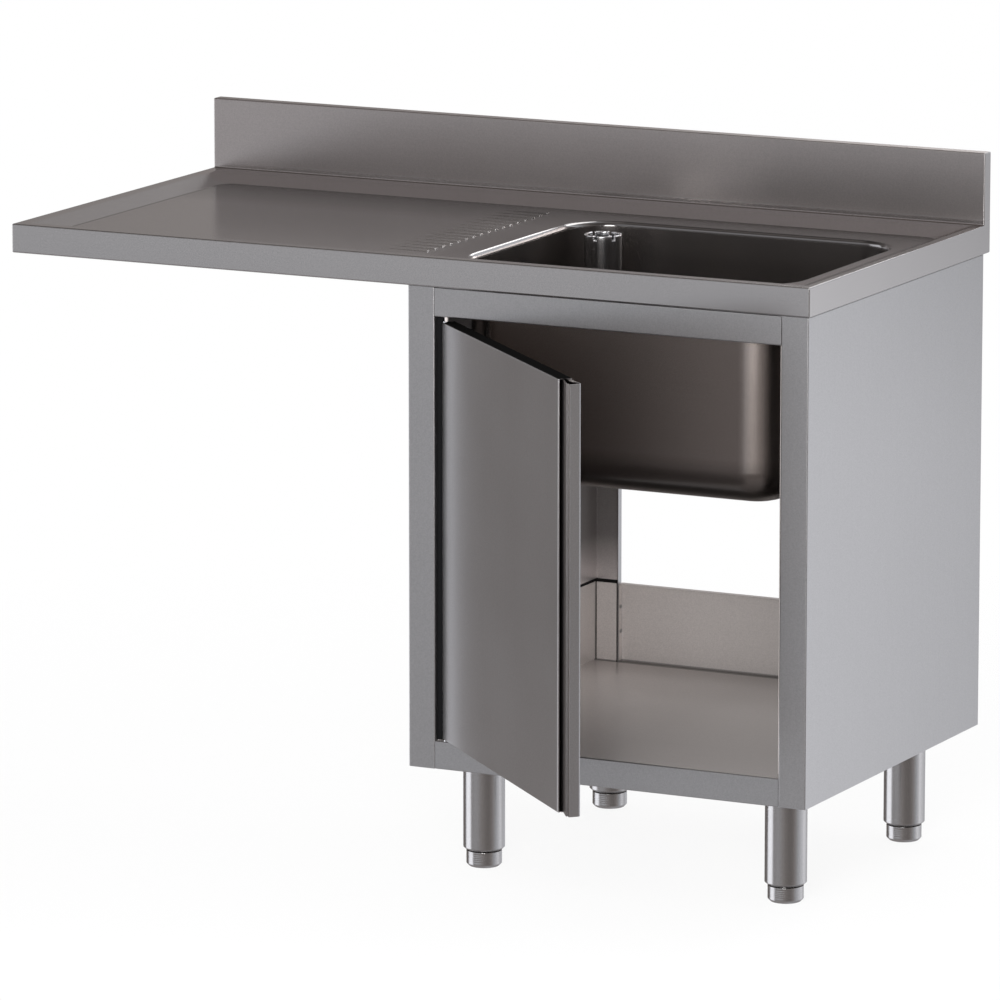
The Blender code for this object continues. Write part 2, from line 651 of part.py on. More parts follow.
def build_shelf():
    left = cabLeft + CABINET_SHEET + UPSTAND_STANDOFF
    right = cabRight - CABINET_SHEET - UPSTAND_STANDOFF
    railLeft = stileLeft + FIT_GAP
    railRight = stileRight - FIT_GAP
    wideFrom = cabFront + UPSTAND_FROM_STILE
    tabLeft = cabLeft + REAR_FLANGE - CABINET_SHEET - CORNER_SLIT
    tabRight = cabRight - REAR_FLANGE + CABINET_SHEET + CORNER_SLIT
    outline = ((railLeft, cabFront), (railRight, cabFront), (railRight, wideFrom), (right, wideFrom),
               (right, shelfRear), (right - CORNER_SLIT, shelfRear), (tabRight, shelfRear),
               (tabRight - CORNER_SLIT, shelfRear), (tabLeft + CORNER_SLIT, shelfRear), (tabLeft, shelfRear),
               (left + CORNER_SLIT, shelfRear), (left, shelfRear), (left, wideFrom), (railLeft, wideFrom))
    bm = bmesh.new()
    verts = [bm.verts.new((x, y, shelfZ)) for x, y in outline]
    floor = bmesh.ops.contextual_create(bm, geom=verts)["faces"][0]

    def fold(first, second, move):
        edge = bm.edges.get((verts[first], verts[second]))
        grown = bmesh.ops.extrude_edge_only(bm, edges=[edge])["geom"]
        ends = [v for v in grown if isinstance(v, bmesh.types.BMVert)]
        bmesh.ops.translate(bm, vec=move, verts=ends)
        return bm.edges.get(ends)

    up = (0.0, 0.0, UPSTAND_HEIGHT)
    lowEdge = fold(0, 1, (0.0, 0.0, -BOTTOM_RAIL_HEIGHT))
    grown = bmesh.ops.extrude_edge_only(bm, edges=[lowEdge])["geom"]
    bmesh.ops.translate(bm, vec=(0.0, BOTTOM_RAIL_RETURN, 0.0),
                        verts=[v for v in grown if isinstance(v, bmesh.types.BMVert)])
    fold(3, 4, up)
    fold(5, 6, up)
    fold(7, 8, (0.0, 0.0, -SHELF_REAR_FOLD))
    fold(9, 10, up)
    fold(11, 12, up)
    orient(bm, floor, (0.0, 0.0, 1.0))
    shelf = finish(bm, "bottom_shelf", steelInside, unit)
    solidify(shelf, CABINET_SHEET)
    cut(shelf, hingeHoles)


def build_back_panel():
    left = cabLeft + REAR_FLANGE + FIT_GAP
    right = cabRight - REAR_FLANGE - FIT_GAP
    flange = REAR_LIP - CABINET_SHEET
    bm = box((left + CABINET_SHEET, cabRear - CABINET_SHEET - flange, shelfUnderZ),
             (right - CABINET_SHEET, cabRear - CABINET_SHEET, shelfZ + UPSTAND_HEIGHT - CABINET_SHEET))
    bm.normal_update()
    open_front = min(bm.faces, key=lambda face: face.normal.y)
    bmesh.ops.delete(bm, geom=[open_front], context="FACES")
    back = max(bm.faces, key=lambda face: face.calc_center_median().y)
    orient(bm, back, (0.0, -1.0, 0.0))
    panel = finish(bm, "back_panel", steelInside, unit)
    solidify(panel, CABINET_SHEET)
    cut(panel, rivetHoles)


def rivet_places():
    y = cabRear - REAR_LIP / 2
    for side, x, turn in (("left", cabLeft + REAR_FLANGE, 1), ("right", cabRight - REAR_FLANGE, -1)):
        for level, rise in zip(("lower", "upper"), RIVET_HEIGHTS):
            yield side + "_" + level, Vector((x, y, shelfZ + rise)), turn


def rivet_hole_tool():
    bm = bmesh.new()
    for _, place, _ in rivet_places():
        reach = Vector((4 * CABINET_SHEET, 0.0, 0.0))
        add_rod(bm, RIVET_RADIUS + FIT_GAP, place - reach, place + reach)
    return cutter(bm, "rivet_holes", unit)


def build_rivets():
    # Each rivet passes the rear lip and the back panel's flange, with a head on both sides.
    grip = CABINET_SHEET + FIT_GAP
    half = RIVET_RADIUS
    for name, place, turn in rivet_places():
        inner = grip + FIT_GAP
        outer = -CABINET_SHEET - FIT_GAP
        head = RIVET_HEAD_HEIGHT
        profile = ((0.0, inner + head), (half, inner + head), (RIVET_HEAD_RADIUS, inner), (half, inner),
                   (half, outer), (RIVET_HEAD_RADIUS, outer), (half, outer - head), (0.0, outer - head))
        rivet = turned("rivet_" + name, profile, steelSide, unit, place, SMALL_SEGMENTS, closed=False)
        rivet.rotation_euler = (0.0, turn * pi / 2, 0.0)


# Hinge brackets, pins and screws


def hinge_bolt_places():
    # The pin hole and the two screw holes of a hinge bracket, seen from above.
    return [(pivotX, pivotY)] + [(pivotX + step * BRACKET_SCREW_SPACING, pivotY) for step in (1, 2)]


def hinge_hole_tool():
    bm = bmesh.new()
    past = BRACKET_THICKNESS + PIN_HEAD_HEIGHT
    lowerSpan = (shelfUnderZ - past, shelfZ + DOOR_BOTTOM_GAP / 2)
    upperSpan = (openTop - DOOR_TOP_GAP / 2, openTop + CABINET_SHEET + past)
    for low, high in (lowerSpan, upperSpan):
        for x, y in hinge_bolt_places():
            add_rod(bm, PIN_RADIUS + FIT_GAP, (x, y, low), (x, y, high))
    return cutter(bm, "hinge_holes", unit)


def build_brackets():
    upperLow = openTop + CABINET_SHEET + FIT_GAP
    lowerHigh = shelfUnderZ - FIT_GAP
    back = cabFront + CABINET_SHEET + FIT_GAP
    near = pivotX - BRACKET_BEFORE_PIN
    levels = (("upper_hinge_bracket", upperLow), ("lower_hinge_bracket", lowerHigh - BRACKET_THICKNESS))
    for name, low in levels:
        bm = box((near, back, low), (near + BRACKET_LENGTH, back + BRACKET_DEPTH, low + BRACKET_THICKNESS))
        cut(finish(bm, name, steelInside, unit), hingeHoles)
    headLow = upperLow + BRACKET_THICKNESS + FIT_GAP
    headHigh = lowerHigh - BRACKET_THICKNESS - FIT_GAP
    tips = (("hinge_pin", doorTop - BUSH_LENGTH, doorBottom + BUSH_LENGTH),
            ("bracket_screw_near", openTop + FIT_GAP, shelfZ - FIT_GAP),
            ("bracket_screw_far", openTop + FIT_GAP, shelfZ - FIT_GAP))
    for (x, y), (name, upperTip, lowerTip) in zip(hinge_bolt_places(), tips):
        headTop = headLow + PIN_HEAD_HEIGHT
        profile = ((0.0, headTop), (PIN_HEAD_RADIUS, headTop), (PIN_HEAD_RADIUS, headLow),
                   (PIN_RADIUS, headLow), (PIN_RADIUS, upperTip), (0.0, upperTip))
        turned("upper_" + name, profile, steelSide, unit, (x, y, 0.0), SMALL_SEGMENTS, closed=False)
        headUnder = headHigh - PIN_HEAD_HEIGHT
        profile = ((0.0, lowerTip), (PIN_RADIUS, lowerTip), (PIN_RADIUS, headHigh),
                   (PIN_HEAD_RADIUS, headHigh), (PIN_HEAD_RADIUS, headUnder), (0.0, headUnder))
        turned("lower_" + name, profile, steelSide, unit, (x, y, 0.0), SMALL_SEGMENTS, closed=False)


# Door: local X runs from the pivot to the free edge, local Y from the pivot to the back


def build_door():
    door = new_empty("door_axis", unit, (pivotX, pivotY, 0.0), -openAngle)
    frontY = -axisDepth
    backY = DOOR_THICKNESS - axisDepth
    build_outer_skin(door, frontY, backY)
    build_inner_skin(door, backY)
    build_handle(door, frontY, backY)
    build_bushes(door)


def build_outer_skin(door, frontY, backY):
    bm = box((-axisDepth, frontY, doorBottom), (frontSkinEnd, backY, doorTop))
    bm.normal_update()
    openSides = [max(bm.faces, key=lambda face: face.normal.y),
                 max(bm.faces, key=lambda face: face.normal.x)]
    bmesh.ops.delete(bm, geom=openSides, context="FACES")
    corner = [edge for edge in bm.edges if all(v.co.x < 0 and v.co.y < 0 for v in edge.verts)]
    bmesh.ops.bevel(bm, geom=corner, offset=axisDepth - FIT_GAP, affect="EDGES", segments=FILLET_SEGMENTS,
                    profile=0.5, material=-1)
    front = max(bm.faces, key=lambda face: face.calc_area())
    orient(bm, front, (0.0, -1.0, 0.0))
    skin = finish(bm, "door_outer_skin", steelDoor, door)
    solidify(skin, DOOR_SHEET)
    bm = bmesh.new()
    for z in (doorBottom, doorTop):
        add_rod(bm, bushRadius + FIT_GAP, (0.0, 0.0, z - 2 * DOOR_SHEET), (0.0, 0.0, z + 2 * DOOR_SHEET),
                segments=ROUND_SEGMENTS)
    cut(skin, cutter(bm, "bush_holes", door))


def build_inner_skin(door, backY):
    inset = DOOR_SHEET + FIT_GAP
    end = doorEnd - HANDLE_BACK_LEG - FIT_GAP
    bm = box((-axisDepth + inset, backY - INNER_FLANGE, doorBottom + inset), (end, backY, doorTop - inset))
    bm.normal_update()
    openSides = [min(bm.faces, key=lambda face: face.normal.y),
                 max(bm.faces, key=lambda face: face.normal.x)]
    bmesh.ops.delete(bm, geom=openSides, context="FACES")
    back = max(bm.faces, key=lambda face: face.calc_area())
    orient(bm, back, (0.0, 1.0, 0.0))
    solidify(finish(bm, "door_inner_skin", steelDoor, door), DOOR_SHEET)


def build_handle(door, frontY, backY):
    # One folded strip: slanted finger web, front bead, step, edge face and back leg.
    low = doorBottom + DOOR_SHEET + FIT_GAP
    high = doorTop - DOOR_SHEET - FIT_GAP
    bead = doorEnd - HANDLE_BEAD_SETBACK
    path = ((frontSkinEnd - HANDLE_UNDERCUT, frontY + HANDLE_WEB_DEPTH), (bead, frontY + HANDLE_BEAD_DEPTH),
            (bead, frontY + HANDLE_STEP_DEPTH), (doorEnd, frontY + HANDLE_STEP_DEPTH), (doorEnd, backY),
            (doorEnd - HANDLE_BACK_LEG, backY))
    bm = folded_sheet(path, "Z", low, high, (0.0, -1.0, 0.0))
    solidify(finish(bm, "door_handle_profile", steelSide, door), DOOR_SHEET)
    middle = (doorTop + doorBottom) / 2
    strikeBack = backY - DOOR_SHEET - FIT_GAP
    strikeEnd = doorEnd - DOOR_SHEET - FIT_GAP
    bm = box((doorEnd - HANDLE_BACK_LEG, strikeBack - STRIKE_THICKNESS, middle - MAGNET_HEIGHT / 2),
             (strikeEnd, strikeBack, middle + MAGNET_HEIGHT / 2))
    finish(bm, "catch_strike", steelInside, door)


def build_bushes(door):
    bore = bushBore
    low = doorTop - BUSH_LENGTH
    rest = doorTop + FIT_GAP
    profile = ((bore, rest + BUSH_FLANGE), (bushFlangeRadius, rest + BUSH_FLANGE), (bushFlangeRadius, rest),
               (bushRadius, rest), (bushRadius, low), (bore, low))
    turned("upper_hinge_bush", profile, chromePipe, door, (0.0, 0.0, 0.0), ROUND_SEGMENTS)
    high = doorBottom + BUSH_LENGTH
    rest = doorBottom - FIT_GAP
    foot = shelfZ + FIT_GAP
    profile = ((bore, high), (bushRadius, high), (bushRadius, rest), (bushFlangeRadius, rest),
               (bushFlangeRadius, foot), (bore, foot))
    turned("lower_hinge_bush", profile, chromePipe, door, (0.0, 0.0, 0.0), ROUND_SEGMENTS)


# Legs


def build_legs():
    columns = (("left", cabLeft + LEG_FROM_SIDE), ("right", cabRight - LEG_FROM_SIDE))
    rows = (("front", cabFront + LEG_FROM_FRONT), ("rear", cabRear - LEG_FROM_REAR))
    for row, y in rows:
        for column, x in columns:
            build_leg(row + "_" + column, x, y)


def build_leg(name, x, y):
    leg = new_empty("leg_axis_" + name, unit, (x, y, 0.0))
    here = (0.0, 0.0, 0.0)
    half = LEG_PLATE_SIZE / 2
    plateTop = shelfUnderZ - FIT_GAP
    plateLow = plateTop - LEG_PLATE_THICKNESS
    finish(box((-half, -half, plateLow), (half, half, plateTop)), "leg_plate_" + name, steelInside, leg)
    top = plateLow - FIT_GAP
    low = FOOT_HEIGHT + FOOT_LEG_GAP
    taperTop = low + LEG_TAPER_HEIGHT
    bore = LEG_RADIUS - LEG_WALL
    tube = ((bore, top), (LEG_RADIUS, top), (LEG_RADIUS, taperTop), (LEG_RADIUS - LEG_TAPER, low),
            (bore - LEG_TAPER, low), (bore, taperTop))
    turned("leg_tube_" + name, tube, steelLeg, leg, here)
    insertLow = taperTop + FIT_GAP
    ring = ring_profile(STEM_RADIUS + FIT_GAP, bore - FIT_GAP, insertLow, insertLow + INSERT_HEIGHT)
    turned("leg_insert_" + name, ring, steelInside, leg, here)
    stemTop = FOOT_HEIGHT + STEM_LENGTH
    foot = ((0.0, stemTop), (STEM_RADIUS, stemTop), (STEM_RADIUS, FOOT_HEIGHT), (FOOT_RADIUS, FOOT_HEIGHT),
            (FOOT_RADIUS, FOOT_CHAMFER), (FOOT_RADIUS - FOOT_CHAMFER, 0.0), (0.0, 0.0))
    turned("foot_" + name, foot, steelLeg, leg, here, closed=False)


clear_scene()
partsCollection = new_collection("sink_unit")
toolsCollection = new_collection("sink_unit_cutters")
steelTop = new_material("worktop_steel", (0.42, 0.41, 0.40), 0.32, 1.0)
steelBowl = new_material("bowl_steel", (0.36, 0.34, 0.33), 0.30, 1.0)
steelSide = new_material("panel_steel", (0.50, 0.50, 0.51), 0.34, 1.0)
steelInside = new_material("inner_steel", (0.46, 0.45, 0.44), 0.38, 1.0)
steelDoor = new_material("door_steel", (0.43, 0.43, 0.43), 0.33, 1.0)
steelLeg = new_material("leg_steel", (0.47, 0.45, 0.44), 0.28, 1.0)
chromePipe = new_material("bright_chrome", (0.78, 0.78, 0.78), 0.08, 1.0)
blackRubber = new_material("black_rubber", (0.02, 0.02, 0.02), 0.70, 0.0)
unit = new_empty("sink_unit_frame", None, (0.0, -boxMiddleY, 0.0))
rivetHoles = rivet_hole_tool()
hingeHoles = hinge_hole_tool()
build_worktop()
build_bowl()
build_stiffeners()
build_standpipe(build_waste())
build_side_panels()
build_stops()
build_rails()
build_shelf()
build_back_panel()
build_rivets()
build_brackets()
build_door()
build_legs()
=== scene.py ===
import json
from math import cos, pi, radians, sin

import bmesh
import bpy
from mathutils import Matrix, Vector


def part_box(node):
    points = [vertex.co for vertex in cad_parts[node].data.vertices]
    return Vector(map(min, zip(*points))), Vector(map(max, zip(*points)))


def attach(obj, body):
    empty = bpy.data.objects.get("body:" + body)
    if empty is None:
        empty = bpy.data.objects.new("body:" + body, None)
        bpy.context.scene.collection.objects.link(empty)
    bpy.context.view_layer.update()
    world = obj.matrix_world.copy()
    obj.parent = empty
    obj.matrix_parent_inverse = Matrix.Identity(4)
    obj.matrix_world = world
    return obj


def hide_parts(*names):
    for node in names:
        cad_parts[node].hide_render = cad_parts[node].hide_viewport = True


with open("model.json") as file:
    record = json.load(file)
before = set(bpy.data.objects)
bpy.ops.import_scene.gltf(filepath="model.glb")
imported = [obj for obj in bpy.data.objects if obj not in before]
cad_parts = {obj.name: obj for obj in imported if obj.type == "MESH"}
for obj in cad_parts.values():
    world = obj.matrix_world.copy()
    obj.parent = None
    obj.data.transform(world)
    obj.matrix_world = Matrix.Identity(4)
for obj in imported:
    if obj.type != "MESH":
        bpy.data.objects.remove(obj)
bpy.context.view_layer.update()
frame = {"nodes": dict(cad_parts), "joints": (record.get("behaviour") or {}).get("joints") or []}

scene = bpy.context.scene
scene.view_settings.view_transform = "Standard"
near = 0.0001       # points closer than this are at the same place

# x runs from the worktop's middle, y back from its front edge, z up from the floor, all in metres
intoFrame = Matrix.Translation((0.0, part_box("worktop")[0].y, 0.0))
doorHinge = next(joint for joint in frame["joints"] if joint["name"] == "door_hinge")
pivotX, pivotY = doorHinge["pos_m"][:2]
doorTurn = Matrix.Rotation(radians(doorHinge["range_deg"][0]), 4, "Z")
ontoDoor = Matrix.Translation((pivotX, pivotY, 0.0)) @ doorTurn


# camera, from the photo's own vanishing lines
photoCamera = {"at": (4.79864, -9.446055, 2.55495), "looks": (-0.43850, 0.87820, -0.19102), "lens": 285.51,
               "sensor": 36.0, "farthest": 60.0}


def setCamera():
    data = bpy.data.cameras.new("photo_camera")
    data.lens = photoCamera["lens"]
    data.sensor_width = photoCamera["sensor"]
    data.clip_end = photoCamera["farthest"]
    camera = bpy.data.objects.new("photo_camera", data)
    camera.location = photoCamera["at"]
    camera.rotation_mode = "QUATERNION"
    camera.rotation_quaternion = Vector(photoCamera["looks"]).to_track_quat("-Z", "Y")
    scene.collection.objects.link(camera)
    scene.camera = camera


# node maths: a wrapped socket takes part in plain Python sums
nodeGrid = {"columns": 8, "across": 180, "down": 220}


class Wire:
    def __init__(self, tree, socket=None):
        self.tree = tree
        self.socket = socket

    def node(self, kind, settings, inputs, output=0):
        made = self.tree.nodes.new(kind)
        row, column = divmod(len(self.tree.nodes), nodeGrid["columns"])
        made.location = (column * nodeGrid["across"], -row * nodeGrid["down"])
        for name, value in settings.items():
            setattr(made, name, value)
        for name, value in inputs.items():
            if isinstance(value, Wire):
                self.tree.links.new(value.socket, made.inputs[name])
            else:
                made.inputs[name].default_value = value
        return Wire(self.tree, made.outputs[output]) if made.outputs else made

    def maths(self, operation, first, second=0.0):
        return self.node("ShaderNodeMath", {"operation": operation}, {0: first, 1: second})

    def __add__(self, other):
        return self.maths("ADD", self, other)

    def __radd__(self, other):
        return self.maths("ADD", other, self)

    def __sub__(self, other):
        return self.maths("SUBTRACT", self, other)

    def __rsub__(self, other):
        return self.maths("SUBTRACT", other, self)

    def __mul__(self, other):
        return self.maths("MULTIPLY", self, other)

    def __rmul__(self, other):
        return self.maths("MULTIPLY", other, self)

    def __truediv__(self, other):
        return self.maths("DIVIDE", self, other)

    def __rtruediv__(self, other):
        return self.maths("DIVIDE", other, self)

    def __pow__(self, other):
        return self.maths("POWER", self, other)

    def __abs__(self):
        return self.maths("ABSOLUTE", self)

    def atLeast(self, other):
        return self.maths("MAXIMUM", self, other)

    def atMost(self, other):
        return self.maths("MINIMUM", self, other)

    def ramp(self, start, run):     # 0 up to the start, 1 after the run, which may go downwards
        return ((self - start) / run).atLeast(0.0).atMost(1.0)

    def soft(self, span):           # the same with soft ends
        return self.node("ShaderNodeMapRange", {"interpolation_type": "SMOOTHSTEP"},
                         {"Value": self, "From Min": span[0], "From Max": span[1]})

    def vector(self, operation, *others, output=0):
        inputs = dict(enumerate((self, *others)))
        return self.node("ShaderNodeVectorMath", {"operation": operation}, inputs, output)

    def axis(self, name):
        return self.node("ShaderNodeSeparateXYZ", {}, {"Vector": self}, name)

    def stretched(self, scale):
        return self.node("ShaderNodeMapping", {}, {"Vector": self, "Scale": scale})

    def noise(self, scale, detail, roughness=0.5):      # spread about zero
        return self.node("ShaderNodeTexNoise", {}, {"Vector": self, "Scale": scale, "Detail": detail,
                                                    "Roughness": roughness}, "Fac") - 0.5

    def scaled(self, colour):
        return self.node("ShaderNodeVectorMath", {"operation": "SCALE"}, {0: colour, "Scale": self})

    def mixed(self, first, second):     # the node's sockets 6, 7 and 2 are its colours
        colours = [item if isinstance(item, Wire) else (*item, 1.0) for item in (first, second)]
        return self.node("ShaderNodeMix", {"data_type": "RGBA"}, {0: self, 6: colours[0], 7: colours[1]}, 2)


def newMaterial(name):
    material = bpy.data.materials.new(name)
    material.use_nodes = True
    material.node_tree.nodes.clear()
    wire = Wire(material.node_tree)
    return material, wire, wire.node("ShaderNodeTexCoord", {}, {}, "Object")


def surface(wire, shader):
    wire.node("ShaderNodeOutputMaterial", {}, {"Surface": shader})


# steel sheet: fine brushed lines along one axis, soft cloudy patches and a fine grain
steelLook = {"lineScale": 620.0, "lineStretch": 9.0, "lineDetail": 3.0, "lineRoughness": 0.6,
             "lineTone": 0.08, "lineRough": 0.10, "lineBump": 0.000006, "bumpStrength": 0.35,
             "streakShare": 0.09, "streakDetail": 2.0, "streakRough": 0.06, "streakBump": 2.0,
             "cloudScale": 6.5, "cloudDetail": 4.0, "cloudRoughness": 0.55, "cloudTone": 0.05,
             "cloudRough": 0.16, "grainScale": 640.0, "grainDetail": 1.0, "grainTone": 0.32}


def satinSteel(name, colour, roughness, along, metallic=1.0, gloss=0.5, zones=()):
    s = steelLook
    material, wire, where = newMaterial(name)
    stretch = [s["lineScale"]] * 3
    stretch["XYZ".index(along)] = s["lineStretch"]
    lines = where.stretched(stretch).noise(1.0, s["lineDetail"], s["lineRoughness"])
    broad = [part * s["streakShare"] for part in stretch]
    streaks = where.stretched(broad).noise(1.0, s["streakDetail"])
    clouds = where.noise(s["cloudScale"], s["cloudDetail"], s["cloudRoughness"])
    grain = where.noise(s["grainScale"], s["grainDetail"])
    uneven = 1.0 + lines * s["lineRough"] + streaks * s["streakRough"] + clouds * s["cloudRough"]
    look = {"tone": 1.0 + lines * s["lineTone"] + clouds * s["cloudTone"] + grain * s["grainTone"],
            "rough": roughness * uneven, "colour": colour, "metallic": metallic}
    for zone in zones:
        zone(where, look)
    height = lines + streaks * s["streakBump"]
    bump = wire.node("ShaderNodeBump", {}, {"Height": height, "Strength": s["bumpStrength"],
                                            "Distance": s["lineBump"]}, "Normal")
    surface(wire, wire.node("ShaderNodeBsdfPrincipled", {}, {
        "Base Color": look["tone"].scaled(look["colour"]), "Metallic": look["metallic"],
        "Roughness": look["rough"], "Specular IOR Level": gloss, "Normal": bump}))
    return material


# the worktop is polished finer from the ribs on, but not on the apron, and its upstand is duller and warmer
polish = {"from": -0.0095, "fade": 0.03, "finer": 0.07, "front": -0.1300, "right": 0.5985, "edge": 0.0006,
          "upstand": 0.853, "upstandFade": 0.004, "upstandRough": 0.09, "warm": (0.99, 0.945, 0.93)}
# painted shade: a thin dark line where the slopes meet the sunk field, and a darker band on the field before
# the upstand
paintedFieldShade = {"centre": (0.00775, 0.134435, 0.0), "half": (0.53225, 0.223, 1.0), "round": 0.020,
             "width": 0.0025, "depth": 0.8, "top": 0.8445, "edge": 0.001, "front": -0.072, "frontFade": 0.02,
             "rear": 0.377, "rearFade": 0.002, "fade": 0.16, "shade": 0.74}


def worktopFinishAndShade(where, look):
    p, f = polish, paintedFieldShade
    across, deep, above = (where.axis(name) for name in "XYZ")
    upstand = above.ramp(p["upstand"], p["upstandFade"])
    inland = deep.ramp(p["front"], p["edge"]) * across.ramp(p["right"], -p["edge"])
    finer = across.ramp(p["from"], p["fade"]) * p["finer"] * (1.0 - upstand) * inland
    look["rough"] = look["rough"] - finer + upstand * p["upstandRough"]
    outside = where.vector("SUBTRACT", f["centre"]).vector("ABSOLUTE")
    outside = outside.vector("SUBTRACT", f["half"]).vector("MAXIMUM", (0.0, 0.0, 0.0))
    beyond = outside.vector("LENGTH", output="Value") - f["round"]
    sunk = above.ramp(f["top"], -f["edge"])
    # painted shade on the sunk field: the dark crease line and the darker band before the upstand
    line = abs(beyond).ramp(f["width"], -f["width"]) * deep.ramp(f["front"], f["frontFade"])
    shade = deep.ramp(f["rear"] - f["fade"], f["fade"]) * beyond.ramp(0.0, -f["edge"])
    look["tone"] = look["tone"] * (1.0 - line * sunk * f["depth"]) * (1.0 - shade * sunk * f["shade"])
    warmer = [part * warm for part, warm in zip(look["colour"], p["warm"])]
    behind = deep.ramp(f["rear"], f["rearFade"])
    look["colour"] = (inland * upstand.atLeast(behind)).mixed(look["colour"], warmer)


# the shelf's front rail is brushed like the stiles and the rest is mill finish; the floor carries painted
# shade, darker towards the front and in its rear joint, and all of the inside has painted light that falls
# off towards the right
millFinishAndShade = {"rail": -0.1285, "edge": 0.001, "railRough": 0.05, "railDull": 0.12,
              "railColour": (0.553, 0.552, 0.561), "floor": 0.1905, "floorShade": 0.06, "frontFrom": 0.36,
              "frontShade": 0.24, "joint": 0.4325, "jointShade": 0.5, "rightFrom": 0.08, "rightRun": 0.2,
              "leftLight": 0.13, "rightShade": 0.27}


def shelfFinishAndShade(where, look):
    m = millFinishAndShade
    across, deep, above = (where.axis(name) for name in "XYZ")
    brushed = deep.ramp(m["rail"], -m["edge"])
    inside = 1.0 - brushed
    floor = above.ramp(m["floor"], -m["edge"]) * inside
    forward = deep.ramp(m["frontFrom"], -m["frontFrom"])
    joint = deep.ramp(m["joint"], m["edge"])
    # painted shade on the floor, and below it painted light that falls off to the right across the inside
    shadeLoss = m["floorShade"] + forward * m["frontShade"] + joint * m["jointShade"]
    sideways = m["leftLight"] - across.ramp(m["rightFrom"], m["rightRun"]) * m["rightShade"]
    look["tone"] = look["tone"] * (1.0 - brushed * m["railDull"]) * (1.0 - floor * shadeLoss)
    look["tone"] = look["tone"] * (1.0 + inside * sideways)
    look["rough"] = look["rough"] + brushed * m["railRough"]
    look["colour"] = brushed.mixed(look["colour"], m["railColour"])
    look["metallic"] = look["metallic"] + brushed * (1.0 - look["metallic"])


# painted shade, nearly black, for places that lie in the dark: the door's top edge, and the corner behind
# the shelf's left upstand
darkPlace = {"loss": 0.985, "rough": 0.55, "doorTop": 0.7617, "topFade": 0.0006, "cornerFade": 0.0003,
             "corner": (0.02825, 0.27495, 0.2319), "cornerHalf": (0.01825, 0.17495, 0.0719)}


def blacken(look, black):
    look["tone"] = look["tone"] * (1.0 - black * darkPlace["loss"])
    look["rough"] = look["rough"] + black * darkPlace["rough"]
    look["metallic"] = look["metallic"] - black * look["metallic"]


def darkDoorTop(where, look):
    blacken(look, where.axis("Z").ramp(darkPlace["doorTop"], darkPlace["topFade"]))


def darkCorner(where, look):
    over = where.vector("SUBTRACT", darkPlace["corner"]).vector("ABSOLUTE")
    over = over.vector("SUBTRACT", darkPlace["cornerHalf"])
    farthest = over.axis("X").atLeast(over.axis("Y")).atLeast(over.axis("Z"))
    blacken(look, farthest.ramp(0.0, -darkPlace["cornerFade"]))


def paintedShadeByHeight(low, high, loss):
    # painted shade or light by height: the tone falls by the loss from the high to the low level, or rises
    # where the loss is negative
    def zone(where, look):
        look["tone"] = look["tone"] * (1.0 - where.axis("Z").ramp(high, low - high) * loss)
    return zone


# bright chrome with faint smudges and drips
chromeLook = {"smudgeScale": 55.0, "smudgeDetail": 5.0, "drips": (260.0, 260.0, 9.0), "dripDetail": 3.0,
              "tone": 0.10, "colour": (0.74, 0.74, 0.75), "roughness": 0.17, "smudgeRough": 0.06,
              "dripRough": 0.05}


def brightChrome(name):
    c = chromeLook
    material, wire, where = newMaterial(name)
    smudge = where.noise(c["smudgeScale"], c["smudgeDetail"])
    drips = where.stretched(c["drips"]).noise(1.0, c["dripDetail"])
    tone = 1.0 + smudge * c["tone"] + drips * c["tone"]
    surface(wire, wire.node("ShaderNodeBsdfPrincipled", {}, {
        "Base Color": tone.scaled(c["colour"]), "Metallic": 1.0,
        "Roughness": c["roughness"] + smudge * c["smudgeRough"] + drips * c["dripRough"]}))
    return material


# dull black rubber with a little dust
rubberLook = {"dustScale": 90.0, "dustDetail": 5.0, "dustTone": 0.6, "dustRough": 0.15, "poreScale": 900.0,
              "poreDetail": 2.0, "poreStrength": 0.3, "poreBump": 0.00005, "colour": (0.022, 0.022, 0.023),
              "roughness": 0.72}


def blackRubber(name):
    r = rubberLook
    material, wire, where = newMaterial(name)
    dust = where.noise(r["dustScale"], r["dustDetail"])
    pores = where.noise(r["poreScale"], r["poreDetail"])
    bump = wire.node("ShaderNodeBump", {}, {"Height": pores, "Strength": r["poreStrength"],
                                            "Distance": r["poreBump"]}, "Normal")
    surface(wire, wire.node("ShaderNodeBsdfPrincipled", {}, {
        "Base Color": (1.0 + dust * r["dustTone"]).scaled(r["colour"]),
        "Roughness": r["roughness"] + dust * r["dustRough"], "Normal": bump}))
    return material


topSteel = satinSteel("worktop_satin", (0.475, 0.46, 0.455), 0.20, "X", zones=[worktopFinishAndShade])
# the bowl's darker colours are painted shade, and its underside's tone falls further towards its foot as
# painted shade
bowlShadedSteel = satinSteel("bowl_shaded_satin", (0.37, 0.343, 0.33), 0.25, "X")
bowlBackShadedSteel = satinSteel("bowl_back_shaded_satin", (0.38, 0.337, 0.315), 0.25, "X",
                           zones=[paintedShadeByHeight(0.562, 0.602, 0.72)])
panelSteel = satinSteel("panel_satin", (0.475, 0.47, 0.475), 0.34, "Z")
# the inside of the side panels: mill finish painted darker as painted shade, black in the corner behind the
# shelf's left upstand, and lighter towards the shelf as painted light
panelBackShadedSteel = satinSteel("panel_back_shaded_satin", (0.31, 0.288, 0.284), 0.34, "Z", metallic=0.7,
                            zones=[darkCorner, paintedShadeByHeight(0.303, 0.368, -1.55)])
innerSteel = satinSteel("inner_satin", (0.59, 0.548, 0.53), 0.29, "X", metallic=0.45, zones=[shelfFinishAndShade])
